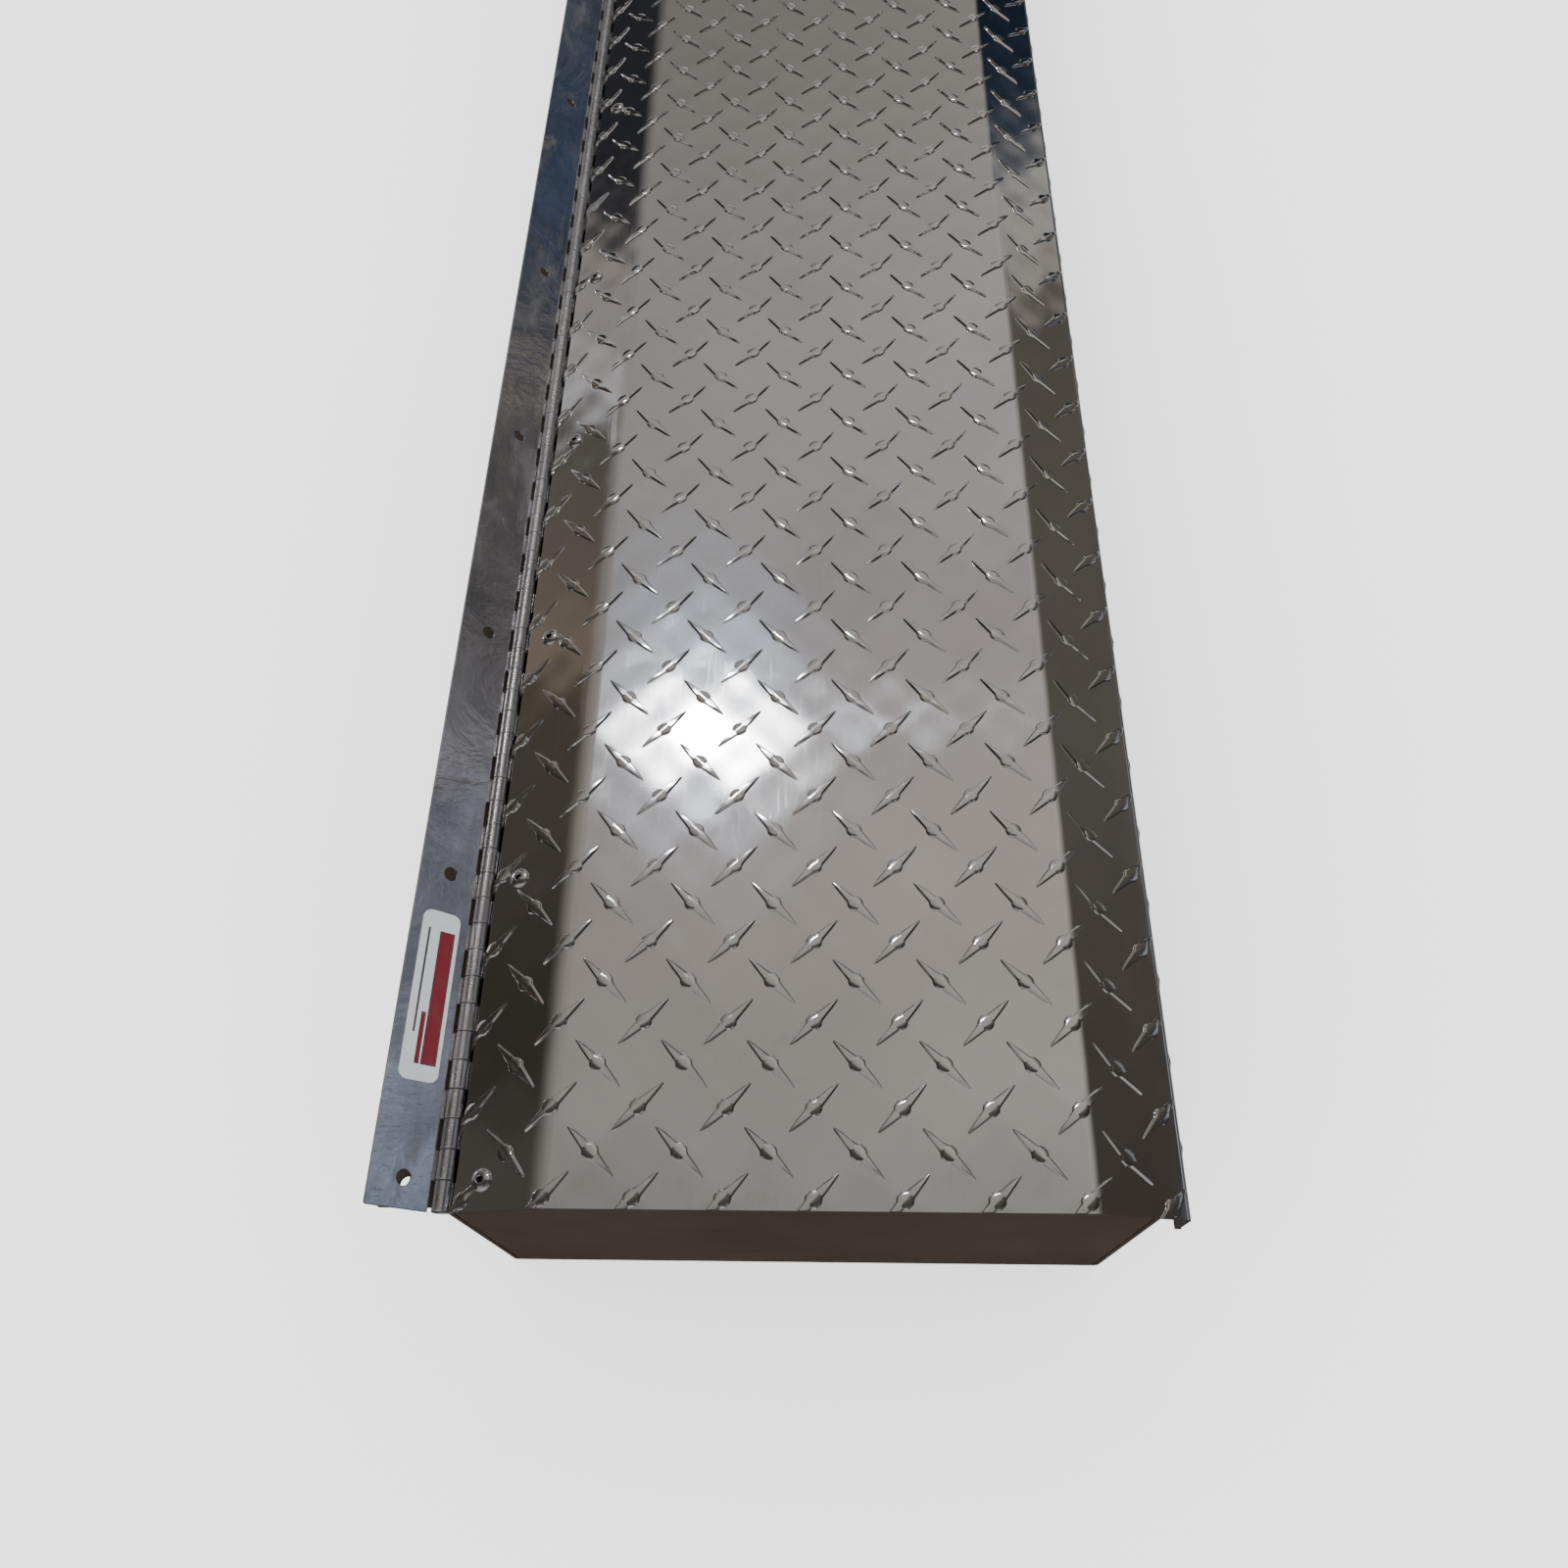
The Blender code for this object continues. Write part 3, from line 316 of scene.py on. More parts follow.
def as_mesh(work, name="part"):
    """A mesh from a bmesh, which is freed."""
    mesh = bpy.data.meshes.new(name)
    work.to_mesh(mesh)
    work.free()
    return mesh


def add_mesh(piece, extra):
    """Append a mesh to a piece's own."""
    joined = bmesh.new()
    joined.from_mesh(piece.data)
    joined.from_mesh(extra)
    joined.to_mesh(piece.data)
    joined.free()


def link(name, work, mat, smooth_deg=35):
    """A finished piece from a bmesh, with its faces out."""
    bmesh.ops.recalc_face_normals(work, faces=work.faces)
    obj = show(name, as_mesh(work, name))
    obj.data.materials.append(mat)
    smooth(obj.data, smooth_deg)
    return obj


def settle(obj, body, slot, *nodes):
    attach(obj, body)
    if nodes:
        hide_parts(*nodes)


def circle(u, v, r, sides=28):
    turns = [2 * math.pi * k / sides for k in range(sides)]
    return [(u + r * math.cos(a), v + r * math.sin(a)) for a in turns]


def hoop(work, r, z, sides):
    return [work.verts.new((x, y, z)) for x, y in circle(0, 0, r, sides)]


def bridge(work, rows):
    """Faces between neighbouring rounds of vertices."""
    for a, b in zip(rows, rows[1:]):
        for k in range(len(a)):
            n = (k + 1) % len(a)
            work.faces.new((a[k], a[n], b[n], b[k]))


def sweep(work, rings):
    """Skin a row of equal rings of points and cap both ends."""
    rows = [[work.verts.new(p) for p in ring] for ring in rings]
    bridge(work, rows)
    work.faces.new(list(reversed(rows[0])))
    work.faces.new(rows[-1])


def stance(at, direction):
    """Stands a turned piece at a point, with its own Z along a direction."""
    return Matrix.Translation(at) @ direction.to_track_quat("Z", "Y").to_matrix().to_4x4()


def lathe(name, profile, mat, frame_matrix, sides=32, smooth_deg=35):
    """Turn a closed profile that starts and ends on the axis."""
    work = bmesh.new()
    rings = [hoop(work, r, z, sides) if r else [work.verts.new((0, 0, z))] for r, z in profile]
    for a, b in zip(rings, rings[1:]):
        if len(a) == len(b):
            bridge(work, (a, b))
            continue
        for k in range(sides):
            n = (k + 1) % sides
            work.faces.new((a[0], b[k], b[n]) if len(a) == 1 else (a[k], a[n], b[0]))
    bmesh.ops.transform(work, matrix=frame_matrix, verts=work.verts)
    return link(name, work, mat, smooth_deg)


def outline_plate(name, outlines, thickness, edge, frame_matrix, mat):
    """A flat plate with holes and softened edges, from a filled 2D curve."""
    curve = bpy.data.curves.new(name, "CURVE")
    curve.dimensions = "2D"
    curve.fill_mode = "BOTH"
    curve.extrude = thickness / 2 - edge
    curve.bevel_depth = edge
    curve.bevel_resolution = 1
    curve.offset = -edge
    for outline in outlines:
        spline = curve.splines.new("POLY")
        spline.points.add(len(outline) - 1)
        for point, (u, v) in zip(spline.points, outline):
            point.co = (u, v, 0, 1)
        spline.use_cyclic_u = True
    drawn = show(name, curve)
    graph = bpy.context.evaluated_depsgraph_get()
    work = bmesh.new()
    work.from_mesh(bpy.data.meshes.new_from_object(drawn.evaluated_get(graph)))
    bpy.data.objects.remove(drawn, do_unlink=True)
    bmesh.ops.remove_doubles(work, verts=work.verts, dist=1e-6)
    bmesh.ops.transform(work, matrix=frame_matrix, verts=work.verts)
    return link(name, work, mat, 15)


# -------- the lid's folded section
LEFT_BEND_ARC = 12 * MM
RIGHT_BEND_ARC = 6 * MM
LIP_BEND_R = 3.0 * MM


def section():
    """Runs along the unfolded sheet from hinge edge to lip edge, zero at the left bend."""
    left_len = (BEND_LEFT - LID_LEFT) / math.cos(SLOPE)
    right_len = (LID_RIGHT - BEND_RIGHT) / math.cos(SLOPE)
    flat_len = BEND_RIGHT - BEND_LEFT
    corner = math.pi / 2 - SLOPE
    lip_cut = LIP_BEND_R * math.tan(corner / 2)
    lip_arc = LIP_BEND_R * corner
    fold = flat_len + right_len - lip_cut
    end = fold + lip_arc + LIP - lip_cut
    left, right = LEFT_BEND_ARC / 2, RIGHT_BEND_ARC / 2
    # Straight stretches and bends take turns
    ends = (-left_len, -left, left, flat_len - right, flat_len + right, fold, fold + lip_arc, end)
    runs = [ends[0]]
    for place, (a, b) in enumerate(zip(ends, ends[1:])):
        count = 8 if place % 2 else 2
        runs += [a + (b - a) * k / count for k in range(1, count + 1)]
    return runs, flat_len, fold, lip_arc, end


RUNS, FLAT_LEN, FOLD, LIP_ARC, RUN_END = section()


def lean_at(run):
    """Angle of the outer surface, positive where it rises towards the front."""
    if run < -LEFT_BEND_ARC / 2:
        return SLOPE
    if run < LEFT_BEND_ARC / 2:
        return SLOPE * (0.5 - run / LEFT_BEND_ARC)
    if run < FLAT_LEN - RIGHT_BEND_ARC / 2:
        return 0.0
    if run < FLAT_LEN + RIGHT_BEND_ARC / 2:
        return -SLOPE * (0.5 + (run - FLAT_LEN) / RIGHT_BEND_ARC)
    if run < FOLD:
        return -SLOPE
    if run < FOLD + LIP_ARC:
        return -SLOPE - (math.pi / 2 - SLOPE) * (run - FOLD) / LIP_ARC
    return -math.pi / 2


TRACE_STEP = 0.1 * MM


def trace():
    """Integrate the section both ways from a point on the flat."""
    middle = round(FLAT_LEN / 2 / TRACE_STEP)
    table = {middle: ((BEND_LEFT + BEND_RIGHT) / 2, LID_TOP)}
    for way, limit in ((1, RUN_END + 2 * MM), (-1, RUNS[0] - 2 * MM)):
        k = middle
        x, z = table[middle]
        while way * (limit - k * TRACE_STEP) > 0:
            a = lean_at((k + way * 0.5) * TRACE_STEP)
            x, z = x + way * math.cos(a) * TRACE_STEP, z + way * math.sin(a) * TRACE_STEP
            k += way
            table[k] = (x, z)
    return table


TRACE = trace()


def on_sheet(run, height=0.0):
    """(x, z) of a point at a run along the sheet and a height off its outer face."""
    k = run / TRACE_STEP
    low = math.floor(k)
    f = k - low
    ax, az = TRACE[low]
    bx, bz = TRACE[low + 1]
    a = lean_at(run)
    return ax + (bx - ax) * f - math.sin(a) * height, az + (bz - az) * f + math.cos(a) * height


EDGE_SOFT = 0.35 * MM


def build_skin():
    first, last, e = RUNS[0], RUNS[-1], EDGE_SOFT
    ring = [on_sheet(first, -e), on_sheet(first + e)] + [on_sheet(r) for r in RUNS[1:-1]]
    ring += [on_sheet(last - e), on_sheet(last, -e), on_sheet(last, -LID_T + e), on_sheet(last - e, -LID_T)]
    ring += [on_sheet(r, -LID_T) for r in reversed(RUNS[1:-1])]
    ring += [on_sheet(first + e, -LID_T), on_sheet(first, -LID_T + e)]
    work = bmesh.new()
    rows = [-HALF, -HALF + 0.02 * MM, -HALF + 1 * MM, HALF - 1 * MM, HALF - 0.02 * MM, HALF]
    sweep(work, [[(x, y, z) for x, z in ring] for y in rows])
    return work


# -------- tread lugs
LUG_HALF = 14.4 * MM
LUG_WIDE = 1.95 * MM
BOSS_R = 2.95 * MM
BOSS_FLAT = 1.2 * MM
BOSS_REACH = 3.3 * MM
LUG_H = 1.15 * MM
LUG_SIDE = 0.38 * MM
LUG_SUNK = 0.06 * MM
LUG_FLARE = 0.34 * MM
LUG_EDGE = 0.08 * MM
LUG_END = 0.25 * MM
TIP_TAPER = 1.6 * MM
FOLD_FADE = 1.5 * MM
# A rivet flattens the lugs this near to it, and its effect fades over this much more
RIVET_PRESS, RIVET_FADE, PRESSED_SHARE = 4 * MM, 6 * MM, 0.12


def lug_half_width(s):
    """Half width of a lug at a distance s from its middle."""
    a = abs(s)
    blade = LUG_WIDE * max(0.0, 1 - a / LUG_HALF) + LUG_EDGE
    return blade + (BOSS_R - LUG_WIDE) * boss_share(s)


def boss_share(s):
    """One on the round boss at a lug's middle, fading to nothing along its blades."""
    t = min(1.0, max(0.0, (BOSS_REACH - abs(s)) / (BOSS_REACH - BOSS_FLAT)))
    return t * t * (3 - 2 * t)


def pressed(run, y):
    """Share of a lug's height that is left by the lip's fold and under the rivets."""
    past = max(FOLD - run, run - FOLD - LIP_ARC, 0.0)
    seat = RUNS[0] + RIVET_REACH - EDGE_REACH
    near = min(math.hypot(run - seat, y - at) for at in stations())
    return min(1.0, past / FOLD_FADE, max(PRESSED_SHARE, (near - RIVET_PRESS) / RIVET_FADE))


LUG_STEPS = (0.7, 1.4, 2.0, 2.7, 3.3, 6, 10, 13.9)
LUG_STATIONS = sorted(round(sign * v * MM, 7) for sign in (-1, 1) for v in LUG_STEPS)


def add_lug(work, run, y, lean):
    """One raised lug: a flat top, steep sides and a small flare where it meets the sheet."""
    c, s = math.cos(lean), math.sin(lean)
    end = LUG_HALF + LUG_END

    def put(along, across, height):
        r = run + along * c - across * s
        yy = y + along * s + across * c
        r = min(max(r, RUNS[0] - 0.3 * MM), RUN_END)
        x, z = on_sheet(r, height * pressed(r, yy) if height > 0 else height)
        return work.verts.new((x, yy, z))

    grid = []
    for along in (-end, *LUG_STATIONS, end):
        tip = abs(along) == end
        taper = min(1.0, max(0.0, (end - abs(along)) / TIP_TAPER))
        rise = min(1.0, 0.15 + 0.85 * math.sqrt(taper))
        half = lug_half_width(along)
        boss = boss_share(along)
        levels = (
            (LUG_SIDE + LUG_FLARE, -LUG_SUNK),
            (LUG_SIDE, 0.10 * LUG_H),
            (0.02 * MM, (0.88 - 0.18 * boss) * LUG_H),
            (-(0.16 + 0.55 * boss) * MM, (0.988 - 0.068 * boss) * LUG_H),
        )
        sides = []
        for side in (-1, 1):
            for grow, height in levels:
                w = 0.0 if tip else max(0.0, half + grow * (0.35 + 0.65 * taper))
                h = -LUG_SUNK if tip else height if height < 0 else height * rise
                sides.append(put(along, side * w, h))
        crown = put(along, 0.0, -LUG_SUNK if tip else LUG_H * rise)
        grid.append(sides[:4] + [crown] + sides[:3:-1])
    bridge(work, grid)


def build_lugs():
    work = bmesh.new()
    first = LATTICE_X - BEND_LEFT
    lo = math.floor((RUNS[0] - first) / TREAD_PITCH) - 1
    hi = math.ceil((RUN_END - first) / TREAD_PITCH) + 1
    rows = math.ceil((HALF - LATTICE_Y) / TREAD_PITCH) + 2
    reach = LUG_HALF * math.sqrt(0.5)
    for half_step in (0, 1):
        shift = 0.5 * half_step * TREAD_PITCH
        lean = math.radians(45 if half_step else -45)
        for i in range(lo, hi):
            run = first + i * TREAD_PITCH + shift
            if run < RUNS[0] - reach * 0.9 or run > RUN_END + reach * 0.9:
                continue
            for j in range(-2, rows):
                y = LATTICE_Y + j * TREAD_PITCH + shift
                if y < -HALF - reach or y > HALF + reach:
                    continue
                add_lug(work, run, y, lean)
    bmesh.ops.remove_doubles(work, verts=work.verts, dist=1e-6)
    for side in (-1, 1):
        geom = work.verts[:] + work.edges[:] + work.faces[:]
        plane = {"plane_co": (0, side * (HALF - 0.01 * MM), 0), "plane_no": (0, side, 0)}
        cutting = bmesh.ops.bisect_plane(work, geom=geom, clear_outer=True, **plane)
        rim = [e for e in cutting["geom_cut"] if isinstance(e, bmesh.types.BMEdge)]
        bmesh.ops.holes_fill(work, edges=rim, sides=0)
    return work


def build_lid():
    work = build_skin()
    work.from_mesh(as_mesh(build_lugs()))
    obj = link("tread_lid", work, TREAD, 28)
    obj.data.materials.append(MILL)
    for face in obj.data.polygons:
        behind_lip = face.normal.x < -0.5 and face.center.x > LID_RIGHT - 2 * LID_T
        if face.normal.z < -0.3 or behind_lip:
            face.material_index = 1
    settle(obj, "lid", "tread_aluminium", "lid_skin")


build_lid()

# -------- continuous hinge
CURL_SIDES = 30
CURL_SWEEP = math.radians(300)
CHAMFER = 0.22 * MM
NECK_IN = 2.0 * MM


def knuckle_ring(side_shrink):
    """Cross-section of one rolled knuckle, with a stub that runs into its leaf."""
    r_out = BARREL_R - side_shrink
    r_in = BARREL_R - LEAF_T + side_shrink
    t0 = 0.02 * MM + side_shrink
    t1 = LEAF_T - 0.02 * MM - side_shrink
    angles = [-math.pi / 2 - CURL_SWEEP * k / CURL_SIDES for k in range(CURL_SIDES + 1)]
    root = BARREL_R + SLOT_DEPTH + NECK_IN
    pts = [(root, t0)]
    pts += [(r_out * math.cos(a), BARREL_R + r_out * math.sin(a)) for a in angles]
    pts += [(r_in * math.cos(a), BARREL_R + r_in * math.sin(a)) for a in reversed(angles)]
    pts += [(root, t1)]
    return pts


def build_hinge_leaf(name, body, node, frame_matrix, width, first, hole_reach, hole_r):
    """Plate with holes plus every other rolled knuckle."""
    inner = BARREL_R + SLOT_DEPTH
    plate_frame = frame_matrix @ laid(LEAF_T / 2)
    soft = 0.8 * MM
    low, high = -HALF + PLAY / 2, HALF - PLAY / 2
    outline = [(inner, low), (width - soft, low), (width, low + soft)]
    outline += [(width, high - soft), (width - soft, high), (inner, high)]
    holes = [circle(hole_reach, y, hole_r) for y in stations()]
    plate = outline_plate(name, [outline] + holes, LEAF_T, 0.18 * MM, plate_frame, LEAF)
    plate.data.materials.append(BARREL)
    work = bmesh.new()
    half = KNUCKLE / 2 - PLAY / 2
    for index in range(first, KNUCKLE_COUNT, 2):
        middle = -HALF + (index + 0.5) * KNUCKLE
        start, stop = middle - half, middle + half
        ends = (start, CHAMFER), (start + CHAMFER, 0), (stop - CHAMFER, 0), (stop, CHAMFER)
        sweep(work, [[frame_matrix @ Vector((u, v, y)) for u, v in knuckle_ring(cut)] for y, cut in ends])
    for face in work.faces:
        face.material_index = 1
    bmesh.ops.recalc_face_normals(work, faces=work.faces)
    curls = as_mesh(work)
    smooth(curls, 35)
    add_mesh(plate, curls)
    settle(plate, body, "bright_aluminium", node)


lid_holes = (RIVET_REACH, 2.8 * MM)
bolt_holes = (HOLE_REACH, HOLE_R)
build_hinge_leaf("lid_hinge_leaf", "lid", "lid_leaf", LID_FRAME, LID_LEAF_W, 0, *lid_holes)
build_hinge_leaf("bolt_down_leaf", "bolt_leaf", "mounting_leaf", TILT_FRAME, MOUNT_LEAF_W, 1, *bolt_holes)

pin_frame = Matrix.Translation((AXIS.x, 0, AXIS.z)) @ Matrix.Rotation(-math.pi / 2, 4, "X")
pin_len = HALF - 1 * MM
pin_end = [(0, pin_len), (1.2 * MM, pin_len), (PIN_R, pin_len - 0.6 * MM)]
pin_shape = pin_end + [(r, -z) for r, z in reversed(pin_end)]
pin = lathe("hinge_pin_bar", pin_shape, ZINC, pin_frame, 24)
settle(pin, "lid", "hinge_steel", "hinge_pin")

# -------- blind rivets
head_base = LEAF_T + BOND_GAP + LID_T
HEAD_R = 4.75 * MM
HEAD_H = 1.95 * MM
RIM_H = 0.25 * MM
MANDREL_DEEP = 1.5 * MM
head_top = head_base + HEAD_H
core_z = head_top - MANDREL_DEEP
tilts = [math.radians(d) for d in (27, 38, 50, 62, 74, 83, 90)]
dome = [(HEAD_R * math.sin(a), head_base + RIM_H + (HEAD_H - RIM_H) * math.cos(a)) for a in tilts]
rivet_profile = (
    [(0, core_z), (1.3 * MM, core_z), (1.4 * MM, head_top - 0.6 * MM)]
    + [(1.55 * MM, head_top - 0.25 * MM), (1.85 * MM, head_top - 0.13 * MM)]
    + dome
    + [(HEAD_R - 0.15 * MM, head_base), (2.4 * MM, head_base), (2.4 * MM, -0.2 * MM)]
    + [(3.4 * MM, -2.2 * MM), (3.1 * MM, -4.2 * MM), (1.7 * MM, -5.2 * MM), (0, -5.2 * MM)]
)
for number, y in enumerate(stations(), start=1):
    seat = LID_FRAME @ Vector((RIVET_REACH, 0, 0))
    stand = Matrix.Translation((seat.x, y, seat.z)) @ Matrix.Rotation(-SLOPE, 4, "Y")
    rivet = lathe("blind_rivet_%02d" % number, rivet_profile, RIVET, stand, 32, 50)
    # The faces near the bottom of the bore, the mandrel end and the lower walls, take the dark steel:
    # painted shade in the rivet's hollow
    rivet.data.materials.append(MANDREL_AND_PAINTED_SHADE)
    core = stand @ Vector((0, 0, core_z))
    for face in rivet.data.polygons:
        if (face.center - core).length < MANDREL_DEEP:
            face.material_index = 1
    settle(rivet, "lid", "rivet_aluminium", "lid_rivet_%02d" % number)

# -------- label on the bolt-down leaf
LABEL_MIDDLE = -550.9 * MM
LABEL_LONG = 76.9 * MM
LABEL_SPAN = (8.8 * MM, 26.8 * MM)
LABEL_CORNER = 4 * MM
LABEL_T = 0.3 * MM
LABEL_GAP = 0.1 * MM


def label_material():
    """White vinyl with a plain red bar and thin dark rules, slightly rubbed."""
    mat, tree, here = new_material("label_vinyl")
    reach = {0: here, 1: (-tilt_cos, 0, tilt_sin)}
    reach = add(tree, "VectorMath", reach, "Value", operation="DOT_PRODUCT")
    u = maths(tree, "SUBTRACT", reach, -AXIS.x * tilt_cos + AXIS.z * tilt_sin)
    w = maths(tree, "SUBTRACT", part_of(tree, here, "Y"), LABEL_MIDDLE)
    rub = noise(tree, here, 160, 4, 0.65)
    colour = mix_colour(tree, rub, (0.50, 0.51, 0.53), (0.43, 0.44, 0.46))
    ink, red = (0.014, 0.012, 0.018), (0.135, 0.010, 0.016)
    for u0, u1, w0, w1, tone in (
        (10.6, 17.9, -31.4, 29.4, ink),
        (11.1, 17.4, -30.9, 28.9, red),
        (18.6, 20.8, -31.4, -8.6, ink),
        (18.9, 20.5, -31.1, -8.9, red),
        (22.6, 23.6, -18.0, 30.0, ink),
    ):
        bar = remap(tree, rub, 0.35, 0.7, 1.0, 0.86)
        for value, low, high in ((u, u0, u1), (w, w0, w1)):
            bar = maths(tree, "MULTIPLY", bar, maths(tree, "GREATER_THAN", value, low * MM))
            bar = maths(tree, "MULTIPLY", bar, maths(tree, "LESS_THAN", value, high * MM))
        colour = mix_colour(tree, bar, colour, tone)
    gloss = remap(tree, rub, 0.3, 0.7, 0.28, 0.42)
    return coat(mat, colour, gloss, bumps(tree, (rub, 0.05, 0.05 * MM)))


def build_label():
    corners = []
    for quarter, (side, end) in enumerate(((1, 1), (-1, 1), (-1, -1), (1, -1))):
        cu = LABEL_SPAN[1 if side > 0 else 0] - side * LABEL_CORNER
        cw = LABEL_MIDDLE + end * LABEL_LONG / 2 - end * LABEL_CORNER
        for k in range(9):
            a = (quarter + k / 8) * math.pi / 2
            corners.append((cu + LABEL_CORNER * math.cos(a), cw + LABEL_CORNER * math.sin(a)))
    lie = TILT_FRAME @ laid(LEAF_T + LABEL_GAP + LABEL_T / 2)
    label = outline_plate("leaf_label", [corners], LABEL_T, 0.06 * MM, lie, label_material())
    settle(label, "bolt_leaf", "white_label", "mounting_label")


build_label()

# -------- tub
END_RECESS = 3 * MM
TUB_HALF = HALF - END_RECESS
WALL = 2 * MM
REAR = -158.6 * MM
FRONT = 141 * MM
RIM_TOP = 147.85 * MM
RIM_W = 12 * MM
FLANGE_REACH = 28 * MM
FOLD_R = 2.6 * MM
LATCH_Y = 400 * MM
PAN_HALF = 46 * MM
PAN_LOW = 52 * MM
PAN_HIGH = 112 * MM
WINDOW_CLEAR = 1 * MM


def arc(centre, radius, start, end, steps=6):
    turns = [math.radians(start + (end - start) * k / steps) for k in range(steps + 1)]
    return [(centre[0] + radius * math.cos(a), centre[1] + radius * math.sin(a)) for a in turns]


def tub_section():
    """Closed outline of the folded sheet, with rounded folds and softened cut edges."""
    ri, ro, e = FOLD_R - WALL, FOLD_R, 0.35 * MM
    left = AXIS.x - FLANGE_REACH
    inner = RIM_TOP - WALL
    pts = [(left, RIM_TOP - e), (left + e, RIM_TOP)]
    pts += arc((REAR + WALL - ro, RIM_TOP - ro), ro, 90, 0)
    pts += arc((REAR + ro, ro), ri, 180, 270)
    pts += arc((FRONT - ro, ro), ri, 270, 360)
    pts += arc((FRONT - ro, RIM_TOP - ro), ri, 0, 90)
    pts += [(FRONT - RIM_W + e, inner), (FRONT - RIM_W, inner + e), (FRONT - RIM_W, RIM_TOP - e)]
    pts += [(FRONT - RIM_W + e, RIM_TOP)]
    pts += arc((FRONT - ro, RIM_TOP - ro), ro, 90, 0)
    pts += arc((FRONT - ro, ro), ro, 0, -90)
    pts += arc((REAR + ro, ro), ro, 270, 180)
    pts += arc((REAR + WALL - ro, RIM_TOP - ro), ri, 0, 90)
    pts += [(left + e, inner), (left, inner + e)]
    return pts


def cylinder(radius, low, high, sides=32):
    work = bmesh.new()
    a, b = Vector(low), Vector(high)
    long = (b - a).length
    bmesh.ops.create_cone(work, cap_ends=True, segments=sides, radius1=radius, radius2=radius, depth=long)
    bmesh.ops.transform(work, matrix=stance((a + b) / 2, b - a), verts=work.verts)
    return work


def brick(low, high, corner=0.0):
    work = bmesh.new()
    bmesh.ops.create_cube(work, size=1)
    size = [b - a for a, b in zip(low, high)]
    middle = [(a + b) / 2 for a, b in zip(low, high)]
    shape = Matrix.Translation(middle) @ Matrix.Diagonal((*size, 1))
    bmesh.ops.transform(work, matrix=shape, verts=work.verts)
    if corner:
        along_x = [e for e in work.edges if abs((e.verts[0].co - e.verts[1].co).normalized().x) > 0.9]
        bmesh.ops.bevel(work, geom=along_x, offset=corner, segments=5, affect="EDGES", profile=0.5)
    return work


def carve(obj, works):
    """Take away a set of separate solids with one exact Boolean, and keep the result."""
    gathered = bmesh.new()
    for work in works:
        gathered.from_mesh(as_mesh(work))
    tool = show("tool", as_mesh(gathered))
    step = obj.modifiers.new("carve", "BOOLEAN")
    step.operation = "DIFFERENCE"
    step.solver = "EXACT"
    step.object = tool
    graph = bpy.context.evaluated_depsgraph_get()
    carved = bpy.data.meshes.new_from_object(obj.evaluated_get(graph))
    obj.modifiers.clear()
    obj.data = carved
    bpy.data.objects.remove(tool, do_unlink=True)


def soften(obj, width, segments, angle):
    """Round off a piece's sharp edges."""
    rounding = obj.modifiers.new("edges", "BEVEL")
    rounding.width = width
    rounding.segments = segments
    rounding.limit_method = "ANGLE"
    rounding.angle_limit = math.radians(angle)
    rounding.harden_normals = True
    smooth(obj.data, 35)


def build_tub():
    outline = tub_section()
    work = bmesh.new()
    sweep(work, [[(x, y, z) for x, z in outline] for y in (-TUB_HALF, TUB_HALF)])
    tub = link("folded_tub", work, PAINT, 25)
    tools = []
    x = AXIS.x - HOLE_REACH
    for y in stations():
        tools.append(cylinder(HOLE_R, (x, y, RIM_TOP - 3 * WALL), (x, y, RIM_TOP + WALL)))
    wide = PAN_HALF + WINDOW_CLEAR
    for y in (-LATCH_Y, LATCH_Y):
        low = (FRONT - 3 * WALL, y - wide, PAN_LOW - WINDOW_CLEAR)
        tools.append(brick(low, (FRONT + 3 * WALL, y + wide, PAN_HIGH + WINDOW_CLEAR)))
    carve(tub, tools)
    smooth(tub.data, 25)
    settle(tub, "tub", "tub_paint", "tub_shell")


build_tub()

# -------- pieces refined from the CAD shapes


def refine(node, name, body, slot, mat, width, segments, angle):
    """The CAD node's shape with clean facets and rounded edges."""
    source = bpy.data.objects[node]
    work = bmesh.new()
    work.from_mesh(source.data)
    bmesh.ops.transform(work, matrix=source.matrix_world, verts=work.verts)
    bmesh.ops.remove_doubles(work, verts=work.verts, dist=2e-6)
    bmesh.ops.dissolve_limit(work, angle_limit=math.radians(1), verts=work.verts, edges=work.edges)
    piece = link(name, work, mat)
    soften(piece, width * MM, segments, angle)
    settle(piece, body, slot, node)


# node, piece, body, slot, material, rounding in mm, segments, angle
for end in ("near", "far"):
    for node, name, body, slot, mat, *edge in (
        ("end_panel_", "end_plate_", "tub", "tub_paint", PAINT, 0.8, 3, 30),
        ("seal_", "end_seal_", "tub", "black_rubber", RUBBER, 0.5, 3, 20),
        ("latch_gasket_", "pan_gasket_", "tub", "black_rubber", RUBBER, 0.3, 2, 30),
        ("striker_", "strike_plate_", "lid", "zinc_steel", ZINC, 0.4, 2, 30),
        ("latch_pawl_", "hook_pawl_", "pawl_" + end, "zinc_steel", ZINC, 0.4, 2, 50),
        ("strut_base_bracket_", "base_bracket_", "tub", "zinc_steel", ZINC, 0.4, 2, 50),
        ("strut_lid_bracket_", "lid_bracket_", "lid", "zinc_steel", ZINC, 0.4, 2, 50),
        ("latch_paddle_", "pull_paddle_", "paddle_" + end, "chrome_latch", CHROME, 0.5, 3, 40),
    ):
        refine(node + end, name + end, body, slot, mat, *edge)
refine("seal_front", "front_seal", "tub", "black_rubber", RUBBER, 0.8, 3, 30)
for where in ("near", "middle", "far"):
    hat = ("lid_stiffener_" + where, "stiffening_hat_" + where)
    refine(*hat, "lid", "bright_aluminium", STAY, 0.5, 3, 30)

# -------- turned pieces


def turned(node, name, profile, start, end, sides=32):
    """A plated turned piece of the tub, drawn along its own length from start."""
    a = Vector(start)
    piece = lathe(name, profile, ZINC, stance(a, Vector(end) - a), sides)
    settle(piece, "tub", "zinc_steel", node)


